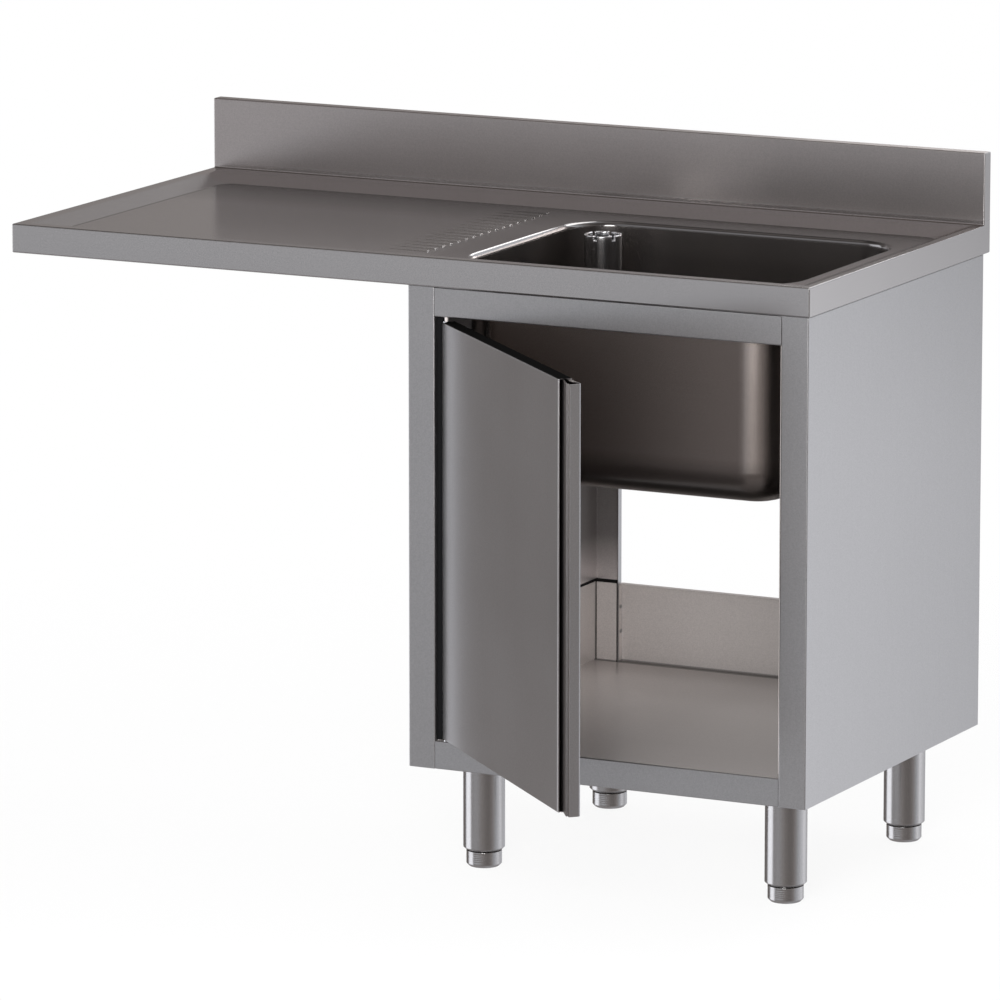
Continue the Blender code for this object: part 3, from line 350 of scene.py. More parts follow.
# the door's top edge is painted black as painted shade, and its lower part gets lighter as painted light
doorSteel = satinSteel("door_satin", (0.465, 0.455, 0.455), 0.30, "Z", gloss=0.0,
                       zones=[darkDoorTop, paintedShadeByHeight(0.20, 0.44, -0.12)])
# painted shade for the grip's sunk web and land
webShadeSteel = satinSteel("web_painted_shade", (0.23, 0.208, 0.2), 0.36, "Z")
doorBackSteel = satinSteel("door_back_satin", (0.34, 0.315, 0.305), 0.36, "Z")
legSteel = satinSteel("leg_satin", (0.49, 0.48, 0.48), 0.22, "Z")
# painted shade: the hinge stop is near black
stopShade = satinSteel("stop_painted_shade", (0.007, 0.007, 0.0075), 0.75, "Z", metallic=0.0, gloss=0.0)
chrome = brightChrome("standpipe_chrome")
rubber = blackRubber("seal_rubber")
print("materials made")


# shared steps for the pieces
sheetEdges = {"share": 0.28, "steps": 2, "sharpest": 50.0, "shading": 60, "closest": 0.00001, "fold": 0.4}


def place(bm, name, body, material, nodes, onto=intoFrame):
    bmesh.ops.transform(bm, matrix=onto, verts=bm.verts)
    mesh = bpy.data.meshes.new(name)
    bm.to_mesh(mesh)
    bm.free()
    mesh.shade_smooth()
    mesh.materials.append(material)
    piece = bpy.data.objects.new(name, mesh)
    scene.collection.objects.link(piece)
    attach(piece, body)
    if nodes:
        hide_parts(*nodes)
    return piece


def softEdges(piece, width, sharpest=sheetEdges["sharpest"]):
    edge = piece.modifiers.new("worn_edges", "BEVEL")
    edge.width = width
    edge.segments = sheetEdges["steps"]
    edge.limit_method = "ANGLE"
    edge.angle_limit = radians(sharpest)
    join = piece.modifiers.new("close_points", "WELD")      # corners where the bevels run together
    join.merge_threshold = sheetEdges["closest"]
    shade = piece.modifiers.new("even_shading", "WEIGHTED_NORMAL")
    shade.weight = sheetEdges["shading"]


def thicken(piece, sheet, edgeShare=sheetEdges["share"]):
    wall = piece.modifiers.new("sheet", "SOLIDIFY")
    wall.thickness = sheet
    wall.offset = -1.0
    wall.use_even_offset = True
    softEdges(piece, sheet * edgeShare)
    return wall


def face(bm, chosen, wanted):
    # turns all faces over where the chosen one looks away from the wanted direction
    bm.normal_update()
    if chosen.normal.dot(Vector(wanted)) < 0.0:
        bmesh.ops.reverse_faces(bm, faces=bm.faces)


def newVerts(geometry):
    return [item for item in geometry if isinstance(item, bmesh.types.BMVert)]


def folds(bm, least=sheetEdges["fold"]):
    bm.normal_update()
    return [edge for edge in bm.edges if len(edge.link_faces) == 2 and edge.calc_face_angle() > least]


def roundFolds(bm, edges, radius, segments=4):
    bmesh.ops.bevel(bm, geom=edges, offset=radius, segments=segments, profile=0.5, affect="EDGES",
                    material=-1)


def foldedStrip(path, along, start, end, wanted):
    # a strip of sheet: the path is (x, y) for an upright strip and (y, z) for one along x
    bm = bmesh.new()
    upright = along == "Z"
    verts = [bm.verts.new((a, b, start) if upright else (start, a, b)) for a, b in path]
    edges = [bm.edges.new(pair) for pair in zip(verts, verts[1:])]
    grown = bmesh.ops.extrude_edge_only(bm, edges=edges)["geom"]
    run = end - start
    bmesh.ops.translate(bm, vec=(0.0, 0.0, run) if upright else (run, 0.0, 0.0), verts=newVerts(grown))
    face(bm, edges[0].link_faces[0], wanted)
    return bm


def block(low, high):
    bm = bmesh.new()
    low, high = Vector(low), Vector(high)
    bmesh.ops.create_cube(bm, size=1.0, matrix=Matrix.Translation((low + high) / 2)
                          @ Matrix.Diagonal((high - low).to_4d()))
    bm.normal_update()
    return bm


def roundedFace(bm, left, right, front, back, corner, z, segments=10):
    # a flat face with round corners
    sizes = Matrix.Diagonal((right - left, back - front, 1.0, 1.0))
    middle = Matrix.Translation(((left + right) / 2, (front + back) / 2, z))
    made = bmesh.ops.create_grid(bm, x_segments=1, y_segments=1, size=0.5, matrix=middle @ sizes)
    bmesh.ops.bevel(bm, geom=made["verts"], offset=corner, segments=segments, profile=0.5, affect="VERTICES",
                    material=-1)
    return min(bm.faces, key=lambda item: abs(item.calc_center_median().z - z))


def turned(profile, centre=(0.0, 0.0), steps=64, closed=True):
    # a profile of (radius, z) spun about the upright line through the centre
    bm = bmesh.new()
    verts = [bm.verts.new((radius, 0.0, z)) for radius, z in profile]
    last = [(verts[-1], verts[0])] if closed else []
    edges = [bm.edges.new(pair) for pair in list(zip(verts, verts[1:])) + last]
    bmesh.ops.spin(bm, geom=verts + edges, cent=(0.0, 0.0, 0.0), axis=(0.0, 0.0, 1.0), angle=2 * pi,
                   steps=steps, use_merge=True)
    bmesh.ops.remove_doubles(bm, verts=bm.verts, dist=sheetEdges["closest"])
    bmesh.ops.recalc_face_normals(bm, faces=bm.faces)
    bmesh.ops.translate(bm, vec=(*centre, 0.0), verts=bm.verts)
    return bm


# worktop: one folded sheet with apron, upstand, sunk field and the bowl's rolled lip
worktop = {"half": 0.600, "depth": 0.600, "height": 0.850, "sheet": 0.0012, "apron": 0.040, "return": 0.015,
           "rearReturn": 0.020, "splashFoot": 0.580, "splash": 0.100, "bend": 0.0020,
           "rim": (-0.582, 0.590, 0.016, 0.577), "field": (-0.5445, 0.560, 0.040, 0.510), "recess": 0.010,
           "rimRound": 0.006, "fieldRound": 0.020, "rimLand": 0.0005,
           "slope": ((0.0, 0.001), (0.035, 0.008), (0.07, 0.035), (0.93, 0.965), (0.965, 0.992), (1.0, 1.0))}
bowl = {"left": 0.050, "right": 0.5445, "front": 0.044, "back": 0.452, "corner": 0.070, "lip": 0.007,
        "lipSteps": 8, "floor": 0.541, "floorBend": 0.045, "floorSteps": 9, "sheet": 0.001, "hole": 0.019,
        "holeSteps": 48, "waste": (0.128, 0.357)}
fieldZ = worktop["height"] - worktop["recess"]


def bowlFace(bm, inset, z):
    return roundedFace(bm, bowl["left"] + inset, bowl["right"] - inset, bowl["front"] + inset,
                       bowl["back"] - inset, bowl["corner"] - inset, z)


def openLoop(bm, made):
    edges = list(made.edges)
    bmesh.ops.delete(bm, geom=[made], context="FACES_ONLY")
    return edges


def bridge(bm, loops):
    for upper, lower in zip(loops, loops[1:]):
        bmesh.ops.bridge_loops(bm, edges=upper + lower)


def makeWorktop():
    half, depth, top, foot = worktop["half"], worktop["depth"], worktop["height"], worktop["splashFoot"]
    low = top - worktop["apron"]
    bm = block((-half, 0.0, low), (half, depth, top))
    bmesh.ops.delete(bm, geom=[min(bm.faces, key=lambda item: item.normal.z)], context="FACES")
    plate = max(bm.faces, key=lambda item: item.normal.z)
    bmesh.ops.bisect_plane(bm, geom=[plate] + list(plate.edges) + list(plate.verts),
                           plane_co=(0.0, foot, 0.0), plane_no=(0.0, 1.0, 0.0))
    bm.normal_update()
    plates = [item for item in bm.faces if item.normal.z > 0.5]
    field, strip = sorted(plates, key=lambda item: item.calc_center_median().y)
    # upstand
    grown = bmesh.ops.extrude_face_region(bm, geom=[strip])["geom"]
    bmesh.ops.translate(bm, vec=(0.0, 0.0, worktop["splash"]), verts=newVerts(grown))
    if strip.is_valid:
        bmesh.ops.delete(bm, geom=[strip], context="FACES")
    # sunk field, ring by ring down its soft slope
    middle = field.calc_center_median().copy()
    land = worktop["rimLand"]
    bmesh.ops.inset_individual(bm, faces=[field], thickness=land)
    left, right, front, back = worktop["rim"]
    for vert in field.verts:
        vert.co.x = right + land if vert.co.x > middle.x else left - land
        vert.co.y = back + land if vert.co.y > middle.y else front - land
    rings = [openLoop(bm, field)]
    for share, drop in worktop["slope"]:
        sides = [a + (b - a) * share for a, b in zip(worktop["rim"], worktop["field"])]
        corner = worktop["rimRound"] + (worktop["fieldRound"] - worktop["rimRound"]) * share
        rings.append(openLoop(bm, roundedFace(bm, *sides, corner, top - worktop["recess"] * drop)))
    bmesh.ops.triangle_fill(bm, use_beauty=True, edges=rings[0] + rings[1])
    bridge(bm, rings[1:])
    # rolled lip of the bowl
    loops = []
    for step in range(bowl["lipSteps"] + 1):
        turn = pi / 2 * step / bowl["lipSteps"]
        inset = bowl["lip"] * sin(turn)
        loops.append(openLoop(bm, bowlFace(bm, inset, fieldZ - bowl["lip"] * (1.0 - cos(turn)))))
    bmesh.ops.triangle_fill(bm, use_beauty=True, edges=rings[-1] + loops[0])
    bridge(bm, loops)
    # apron folded under
    rims = [edge for edge in bm.edges
            if edge.is_boundary and all(abs(vert.co.z - low) < near for vert in edge.verts)]
    for vert in newVerts(bmesh.ops.extrude_edge_only(bm, edges=rims)["geom"]):
        side = half - worktop["return"]
        vert.co.x = side if vert.co.x > 0.0 else -side
        vert.co.y = worktop["return"] if vert.co.y < depth / 2 else depth - worktop["rearReturn"]
    bmesh.ops.recalc_face_normals(bm, faces=bm.faces)
    face(bm, min(bm.faces, key=lambda item: item.calc_center_median().y), (0.0, -1.0, 0.0))

    def onShell(edge):
        x, y, z = (edge.verts[0].co + edge.verts[1].co) / 2
        return (abs(abs(x) - half) < near or y < near or abs(y - depth) < near or abs(y - foot) < near
                or z > top + near)

    roundFolds(bm, [edge for edge in folds(bm) if onShell(edge)], worktop["bend"])
    thicken(place(bm, "worktop_sheet", "cabinet", topSteel, ["worktop"]), worktop["sheet"])


# pressed drainer ribs: half cones that fade out to the left and end blunt beside the bowl
drainerRibs = {"count": 17, "first": 0.100, "pitch": 0.0228, "length": 0.085, "width": 0.012,
               "height": 0.0014, "end": -0.0095, "tip": 0.06, "segments": 24, "axisUnder": 0.0003,
               "cutUnder": 0.0004}


def makeRibs():
    r = drainerRibs
    bm = bmesh.new()
    size = Matrix.Diagonal((1.0, r["width"] / 2, r["height"] + r["axisUnder"], 1.0))
    middle = Matrix.Translation((r["end"] - r["length"] / 2, r["first"], fieldZ - r["axisUnder"]))
    bmesh.ops.create_cone(bm, cap_ends=True, segments=r["segments"], radius1=1.0, radius2=r["tip"],
                          depth=r["length"], matrix=middle @ size @ Matrix.Rotation(-pi / 2, 4, "Y"))
    bmesh.ops.bisect_plane(bm, geom=bm.verts[:] + bm.edges[:] + bm.faces[:], clear_inner=True,
                           plane_co=(0.0, 0.0, fieldZ - r["cutUnder"]), plane_no=(0.0, 0.0, 1.0))
    bmesh.ops.holes_fill(bm, edges=[edge for edge in bm.edges if edge.is_boundary])
    single = bm.verts[:] + bm.edges[:] + bm.faces[:]
    for index in range(1, r["count"]):
        copy = bmesh.ops.duplicate(bm, geom=single)["geom"]
        bmesh.ops.translate(bm, vec=(0.0, index * r["pitch"], 0.0), verts=newVerts(copy))
    bmesh.ops.recalc_face_normals(bm, faces=bm.faces)
    ribs = place(bm, "drainer_ribs", "cabinet", topSteel, [])
    ribs.modifiers.new("even_shading", "WEIGHTED_NORMAL").keep_sharp = True


def makeBowl():
    bm = bmesh.new()
    top = fieldZ - bowl["lip"]
    mouth = bowlFace(bm, bowl["lip"], top)
    grown = bmesh.ops.extrude_face_region(bm, geom=[mouth])["geom"]
    bmesh.ops.translate(bm, vec=(0.0, 0.0, bowl["floor"] - top), verts=newVerts(grown))
    if mouth.is_valid:
        bmesh.ops.delete(bm, geom=[mouth], context="FACES")
    base = min(bm.faces, key=lambda item: item.calc_center_median().z)
    roundFolds(bm, list(base.edges), bowl["floorBend"], bowl["floorSteps"])
    baseEdges = openLoop(bm, min(bm.faces, key=lambda item: item.calc_center_median().z))
    ring = bmesh.ops.create_circle(bm, segments=bowl["holeSteps"], radius=bowl["hole"],
                                   matrix=Matrix.Translation((*bowl["waste"], bowl["floor"])))
    ringEdges = list({edge for vert in ring["verts"] for edge in vert.link_edges})
    bmesh.ops.triangle_fill(bm, use_beauty=True, edges=baseEdges + ringEdges)
    bmesh.ops.recalc_face_normals(bm, faces=bm.faces)
    face(bm, min(bm.faces, key=lambda item: item.calc_center_median().z), (0.0, 0.0, 1.0))
    shell = place(bm, "bowl_shell", "cabinet", bowlShadedSteel, ["sink_bowl"])
    shell.data.materials.append(bowlBackShadedSteel)
    thicken(shell, bowl["sheet"]).material_offset = 1       # the underside is darker and browner, as painted shade


# waste fitting and lift-out standpipe
standpipe = {"radius": 0.026, "wall": 0.0044, "low": 0.555, "top": 0.837, "steps": 72, "slots": 6,
             "slotDepth": 0.006, "slotWidth": 0.006, "edge": 0.0004,
             "flange": ((0.0165, 0.5456), (0.0262, 0.5456), (0.0280, 0.5446), (0.0280, 0.5431),
                        (0.0185, 0.5431), (0.0185, 0.495), (0.0155, 0.495), (0.0155, 0.5446)),
             "plug": ((0.012, 0.5627), (0.0237, 0.5627), (0.0237, 0.5547), (0.026, 0.5547), (0.026, 0.5537),
                      (0.023, 0.5507), (0.0145, 0.5507), (0.0145, 0.5276), (0.012, 0.5276))}


def makeStandpipe():
    p = standpipe
    centre = bowl["waste"]
    ring = place(turned(p["flange"], centre), "waste_ring", "cabinet", chrome,
                 ["waste_flange"])
    softEdges(ring, p["edge"])
    plug = place(turned(p["plug"], centre), "standpipe_foot", "standpipe", chrome,
                 ["standpipe_plug"])
    softEdges(plug, p["edge"])
    slotLow = p["top"] - p["slotDepth"]
    bm = turned([(p["radius"], z) for z in (p["low"], slotLow, p["top"])], steps=p["steps"], closed=False)

    def inSlot(item):
        spot = item.calc_center_median()
        for index in range(p["slots"]):
            turn = 2 * pi * (index + 0.5) / p["slots"]
            across = spot.x * sin(turn) - spot.y * cos(turn)
            ahead = spot.x * cos(turn) + spot.y * sin(turn)
            if spot.z > slotLow and ahead > 0.0 and abs(across) < p["slotWidth"] / 2:
                return True
        return False

    bmesh.ops.delete(bm, geom=[item for item in bm.faces if inSlot(item)], context="FACES")
    face(bm, max(bm.faces, key=lambda item: item.calc_center_median().x), (1.0, 0.0, 0.0))
    bmesh.ops.translate(bm, vec=(*centre, 0.0), verts=bm.verts)
    thicken(place(bm, "standpipe_tube", "standpipe", chrome, ["standpipe"]), p["wall"])


# cupboard of folded sheet
cupboard = {"left": 0.0095, "right": 0.598, "front": 0.002, "rear": 0.583, "low": 0.150, "top": 0.8097,
            "sheet": 0.001, "stile": 0.0395, "rearFlange": 0.040, "rearLip": 0.012, "topFlange": 0.020,
            "notch": 0.006, "leftReturn": 0.010, "rightReturn": 0.0194, "bend": 0.0018, "openTop": 0.770,
            "railTop": 0.030, "railFloor": 0.036, "railLip": 0.012, "rearRail": 0.025, "rearRailDrop": 0.040,
            "clear": 0.0003}


def makeSides():
    c = cupboard
    for name, side, inward in (("left", 1, c["leftReturn"]), ("right", -1, c["rightReturn"])):
        outer = c[name]
        edgeOfRear = outer + side * c["rearFlange"]
        edgeOfStile = outer + side * c["stile"]
        path = ((edgeOfRear, c["rear"] - c["rearLip"]), (edgeOfRear, c["rear"]), (outer, c["rear"]),
                (outer, c["rear"] - c["notch"]), (outer, c["front"] + c["notch"]), (outer, c["front"]),
                (edgeOfStile, c["front"]), (edgeOfStile, c["front"] + inward))
        bm = foldedStrip(path, "Z", c["low"], c["top"], (side, 0.0, 0.0))
        rims = [edge for edge in bm.edges
                if all(abs(vert.co.x - outer) < near and vert.co.z > c["top"] - near for vert in edge.verts)]
        longest = max(rims, key=lambda edge: edge.calc_length())
        grown = bmesh.ops.extrude_edge_only(bm, edges=[longest])["geom"]
        bmesh.ops.translate(bm, vec=(side * c["topFlange"], 0.0, 0.0), verts=newVerts(grown))
        face(bm, min(bm.faces, key=lambda item: item.calc_center_median().y), (0.0, -1.0, 0.0))
        roundFolds(bm, folds(bm), c["bend"])
        sheet = place(bm, name + "_side_sheet", "cabinet", panelSteel, [name + "_side_panel"])
        sheet.data.materials.append(panelBackShadedSteel)
        thicken(sheet, c["sheet"]).material_offset = 1      # the inside is mill finish with painted shade and light


def makeRails():
    c = cupboard
    floorEnd = c["front"] + c["railFloor"]
    path = ((c["front"] + c["railTop"], c["top"]), (c["front"], c["top"]), (c["front"], c["openTop"]),
            (floorEnd, c["openTop"]), (floorEnd, c["openTop"] + c["railLip"]))
    bm = foldedStrip(path, "X", c["left"] + c["stile"] + c["clear"], c["right"] - c["stile"],
                     (0.0, 0.0, 1.0))
    roundFolds(bm, folds(bm), c["bend"])
    rail = place(bm, "top_rail_sheet", "cabinet", panelSteel, ["top_front_rail"])
    thicken(rail, c["sheet"])
    inner = c["rear"] - c["rearRail"]
    under = c["top"] - c["rearRailDrop"]
    reach = c["rearFlange"] + c["clear"]
    path = ((inner, c["top"]), (c["rear"], c["top"]), (c["rear"], under), (inner, under))
    bm = foldedStrip(path, "X", c["left"] + reach, c["right"] - reach, (0.0, 0.0, 1.0))
    roundFolds(bm, folds(bm), c["bend"])
    rail = place(bm, "rear_rail_sheet", "cabinet", innerSteel, ["top_rear_rail"])
    thicken(rail, c["sheet"])


# upright strips that the door closes against
doorStops = {"low": 0.1888, "top": 0.7697, "bend": 0.0015,
             "hinge": ((0.029, 0.0123), (0.0577, 0.0123), (0.0577, 0.0233)),
             "catch": ((0.5825, 0.0217), (0.5485, 0.0217), (0.5485, 0.0327))}


def makeStops():
    # the hinge stop is painted black as painted shade
    for side, finish in (("hinge", stopShade), ("catch", innerSteel)):
        bm = foldedStrip(doorStops[side], "Z", doorStops["low"], doorStops["top"], (0.0, -1.0, 0.0))
        roundFolds(bm, folds(bm), doorStops["bend"])
        thicken(place(bm, side + "_stop_sheet", "cabinet", finish, [side + "_side_stop"]),
                cupboard["sheet"])


# bottom shelf: a tray with front rail, side upstands and rear tabs
shelf = {"z": 0.1885, "left": 0.0145, "right": 0.593, "railLeft": 0.0493, "railRight": 0.5585,
         "front": 0.002, "wideFrom": 0.028, "rear": 0.5707, "tabLeft": 0.047, "tabRight": 0.5605,
         "slit": 0.0015, "rail": 0.0385, "railReturn": 0.018, "upstand": 0.1125, "rearFold": 0.015,
         "bend": 0.0016}


def makeShelf():
    s = shelf
    outline = ((s["railLeft"], s["front"]), (s["railRight"], s["front"]), (s["railRight"], s["wideFrom"]),
               (s["right"], s["wideFrom"]), (s["right"], s["rear"]), (s["right"] - s["slit"], s["rear"]),
               (s["tabRight"], s["rear"]), (s["tabRight"] - s["slit"], s["rear"]),
               (s["tabLeft"] + s["slit"], s["rear"]), (s["tabLeft"], s["rear"]),
               (s["left"] + s["slit"], s["rear"]), (s["left"], s["rear"]),
               (s["left"], s["wideFrom"]), (s["railLeft"], s["wideFrom"]))
    rail, sidesAndTabs, rearFold = 0, (3, 5, 9, 11), 7      # each rim by its first point in the outline
    bm = bmesh.new()
    verts = [bm.verts.new((x, y, s["z"])) for x, y in outline]
    tray = bmesh.ops.contextual_create(bm, geom=verts)["faces"][0]

    def fold(edge, move):
        ends = newVerts(bmesh.ops.extrude_edge_only(bm, edges=[edge])["geom"])
        bmesh.ops.translate(bm, vec=move, verts=ends)
        return bm.edges.get(ends)

    def rim(first):
        return bm.edges.get((verts[first], verts[first + 1]))

    fold(fold(rim(rail), (0.0, 0.0, -s["rail"])), (0.0, s["railReturn"], 0.0))
    for first in sidesAndTabs:
        fold(rim(first), (0.0, 0.0, s["upstand"]))
    fold(rim(rearFold), (0.0, 0.0, -s["rearFold"]))
    face(bm, tray, (0.0, 0.0, 1.0))
    roundFolds(bm, folds(bm), s["bend"])
    piece = place(bm, "shelf_tray", "cabinet", innerSteel, ["bottom_shelf"])
    thicken(piece, cupboard["sheet"])


# low back panel between the rear flanges, and its rivets
backPanel = {"low": (0.0508, 0.572, 0.1875), "high": (0.5567, 0.582, 0.300), "bend": 0.0012,
             "rivetHeights": (("lower", 0.0434), ("upper", 0.0785)), "rivetRadius": 0.0016,
             "headRadius": 0.0032, "head": 0.0012, "headSteps": 5, "steps": 24, "edge": 0.0001}


def makeBackPanel():
    b, c = backPanel, cupboard
    bm = block(b["low"], b["high"])
    bmesh.ops.delete(bm, geom=[min(bm.faces, key=lambda item: item.normal.y)], context="FACES")
    face(bm, max(bm.faces, key=lambda item: item.calc_center_median().y), (0.0, -1.0, 0.0))
    roundFolds(bm, folds(bm), b["bend"])
    thicken(place(bm, "back_panel_sheet", "cabinet", innerSteel, ["back_panel"]), c["sheet"])
    grip = c["sheet"] + c["clear"]
    turns = [pi / 2 * step / b["headSteps"] for step in range(b["headSteps"] + 1)]
    dome = [(b["headRadius"] * cos(turn), b["head"] * sin(turn)) for turn in turns]
    inner = [(radius, grip + c["clear"] + rise) for radius, rise in reversed(dome)]
    outer = [(radius, -grip - rise) for radius, rise in dome]
    profile = inner + [(b["rivetRadius"], grip + c["clear"]), (b["rivetRadius"], -grip)] + outer
    for side, turn in (("left", 1), ("right", -1)):
        for level, rise in b["rivetHeights"]:
            which = side + "_" + level
            bm = turned(profile, steps=b["steps"], closed=False)
            spot = Matrix.Translation((c[side] + turn * c["rearFlange"], c["rear"] - c["rearLip"] / 2,
                                       shelf["z"] + rise))
            bmesh.ops.transform(bm, matrix=spot @ Matrix.Rotation(turn * pi / 2, 4, "Y"), verts=bm.verts)
            rivet = place(bm, "domed_rivet_" + which, "cabinet", panelSteel,
                          ["rivet_" + which])
            softEdges(rivet, b["edge"])


# door, in its own frame: x from the pivot to the free edge, y from the pivot to the back
door = {"low": 0.191, "top": 0.7625, "front": -0.0058, "back": 0.0131, "hingeEdge": -0.0058,
        "skinEnd": 0.4546, "hingeBend": 0.0055, "hingeSteps": 8, "bend": 0.0016, "bendSteps": 3,
        "sharp": 1.2, "freeReturn": 0.0024, "sheet": 0.001, "skinEdge": 0.15, "innerFlange": 0.0065,
        "inset": 0.0013, "innerEnd": 0.4743, "gripEdge": 0.4, "heelBend": 0.003, "heel": 4,
        "grip": ((0.4381, 0.0047), (0.4846, -0.0050), (0.4846, -0.0026), (0.4906, -0.0026),
                 (0.4906, 0.0131), (0.4746, 0.0131))}


def makeDoor():
    d = door
    # outer skin
    bm = block((d["hingeEdge"], d["front"], d["low"]), (d["skinEnd"], d["back"], d["top"]))
    sides = [max(bm.faces, key=lambda item: item.normal.y), max(bm.faces, key=lambda item: item.normal.x)]
    bmesh.ops.delete(bm, geom=sides, context="FACES")
    face(bm, max(bm.faces, key=lambda item: item.calc_area()), (0.0, -1.0, 0.0))
    free = [vert for vert in bm.verts if vert.co.x > d["skinEnd"] - near and vert.co.y < d["front"] + near]
    grown = bmesh.ops.extrude_edge_only(bm, edges=[bm.edges.get(free)])["geom"]
    bmesh.ops.translate(bm, vec=(0.0, d["freeReturn"], 0.0), verts=newVerts(grown))
    bmesh.ops.recalc_face_normals(bm, faces=bm.faces)
    face(bm, max(bm.faces, key=lambda item: item.calc_area()), (0.0, -1.0, 0.0))
    hingeFold = [edge for edge in folds(bm) if all(vert.co.x < d["hingeEdge"] + near for vert in edge.verts)
                 and all(vert.co.y < d["front"] + near for vert in edge.verts)]
    roundFolds(bm, hingeFold, d["hingeBend"], d["hingeSteps"])
    roundFolds(bm, folds(bm, d["sharp"]), d["bend"], d["bendSteps"])
    skin = place(bm, "door_front_sheet", "door", doorSteel, ["door_outer_skin"], ontoDoor)
    skin.data.materials.append(chrome)
    thicken(skin, d["sheet"], d["skinEdge"]).material_offset_rim = 1        # bright cut edges
    # inner skin
    bm = block((d["hingeEdge"] + d["inset"], d["back"] - d["innerFlange"], d["low"] + d["inset"]),
               (d["innerEnd"], d["back"], d["top"] - d["inset"]))
    sides = [min(bm.faces, key=lambda item: item.normal.y), max(bm.faces, key=lambda item: item.normal.x)]
    bmesh.ops.delete(bm, geom=sides, context="FACES")
    face(bm, max(bm.faces, key=lambda item: item.calc_area()), (0.0, 1.0, 0.0))
    roundFolds(bm, folds(bm), d["bend"], d["bendSteps"])
    inner = place(bm, "door_back_sheet", "door", doorBackSteel, ["door_inner_skin"], ontoDoor)
    thicken(inner, d["sheet"])
    # grip strip, whose sunk web and land carry painted shade
    bm = foldedStrip(d["grip"], "Z", d["low"] + d["inset"], d["top"] - d["inset"], (0.0, -1.0, 0.0))
    for item in bm.faces:
        item.material_index = int(item.normal.y < -0.5)
    x, y = d["grip"][d["heel"]]     # the outer fold at the back
    heel = [edge for edge in folds(bm)
            if abs(edge.verts[0].co.x - x) < near and abs(edge.verts[0].co.y - y) < near]
    roundFolds(bm, heel, d["heelBend"])
    strip = place(bm, "door_grip_strip", "door", panelSteel, ["door_handle_profile"],
                  ontoDoor)
    strip.data.materials.append(webShadeSteel)
    thicken(strip, d["sheet"], d["gripEdge"])


# legs and screw feet
legs = {"x": (("left", 0.078), ("right", 0.5295)), "y": (("front", 0.0925), ("rear", 0.4865)),
        "tube": ((0.0285, 0.1839), (0.0285, 0.0268), (0.0250, 0.0238), (0.0240, 0.0235), (0.0262, 0.0262),
                 (0.0270, 0.0295), (0.0270, 0.1839)),
        "stem": ((0.0, 0.077), (0.0052, 0.077), (0.0060, 0.0762), (0.0060, 0.022), (0.0243, 0.022)),
        "sole": ((0.0243, 0.004), (0.0203, 0.0), (0.0, 0.0)),
        "rings": 5, "ringFrom": 0.0185, "ringPitch": 0.0026, "ringHalf": 0.0006, "ringDepth": 0.0002,
        "tubeEdge": 0.0004, "footEdge": 0.0005, "sharpest": 40.0}


def footProfile():
    # the foot's side carries fine turned rings
    side = legs["sole"][0][0]
    grooves = []
    for index in range(legs["rings"]):
        z = legs["ringFrom"] - index * legs["ringPitch"]
        grooves += [(side, z + legs["ringHalf"]), (side - legs["ringDepth"], z),
                    (side, z - legs["ringHalf"])]
    return legs["stem"] + tuple(grooves) + legs["sole"]


def makeLegs():
    for row, y in legs["y"]:
        for column, x in legs["x"]:
            which = row + "_" + column
            tube = place(turned(legs["tube"], (x, y)), "leg_" + which, "cabinet", legSteel,
                         ["leg_tube_" + which])
            softEdges(tube, legs["tubeEdge"], legs["sharpest"])
            foot = place(turned(footProfile(), (x, y), closed=False), "screw_foot_" + which, "foot_" + which,
                         legSteel, ["foot_" + which])
            softEdges(foot, legs["footEdge"], legs["sharpest"])


# what stays as the CAD made it gets its finish here
nodeFinish = {"waste_upper_gasket": rubber, "waste_lower_gasket": rubber, "standpipe_seal": rubber,
              "catch_magnet": rubber, "waste_nut": chrome, "upper_hinge_bush": chrome,
              "lower_hinge_bush": chrome}


def finishNodes():
    for name, node in frame["nodes"].items():
        node.data.materials.clear()
        node.data.materials.append(nodeFinish.get(name, innerSteel))


# pale floor that fades into white, and lets a foot that is screwed out below it be seen
floorLook = {"radius": 2.4, "segments": 96, "drop": 0.0005, "fadeFrom": 0.9, "fadeRun": 1.2, "white": 0.9,
             "colour": (0.95, 0.95, 0.95), "speckScale": 14.0, "speckDetail": 3.0, "speckTone": 0.02}


def stageMesh(bm, name):
    mesh = bpy.data.meshes.new(name)
    bm.to_mesh(mesh)
    bm.free()
    item = bpy.data.objects.new(name, mesh)
    scene.collection.objects.link(item)
    return item


def makeFloor():
    f = floorLook
    bm = bmesh.new()
    bmesh.ops.create_circle(bm, cap_ends=True, segments=f["segments"], radius=f["radius"])
    floor = stageMesh(bm, "studio_floor")
    floor.location.z = -f["drop"]
    floor.visible_glossy = False        # the steel shows the studio round it, not the floor
    material, wire, where = newMaterial("pale_floor")
    fade = where.vector("LENGTH", output="Value").ramp(f["fadeFrom"], f["fadeRun"])
    specks = where.noise(f["speckScale"], f["speckDetail"])
    pale = (1.0 + specks * f["speckTone"]).scaled(f["colour"])
    plain = wire.node("ShaderNodeBsdfDiffuse", {}, {"Color": pale})
    clear = wire.node("ShaderNodeBsdfTransparent", {}, {})
    seen = wire.node("ShaderNodeLightPath", {}, {}, "Is Camera Ray") * f["white"]
    shown = wire.node("ShaderNodeMixShader", {}, {0: seen, 1: plain, 2: clear})
    surface(wire, wire.node("ShaderNodeMixShader", {}, {0: fade, 1: shown, 2: clear}))
    floor.data.materials.append(material)


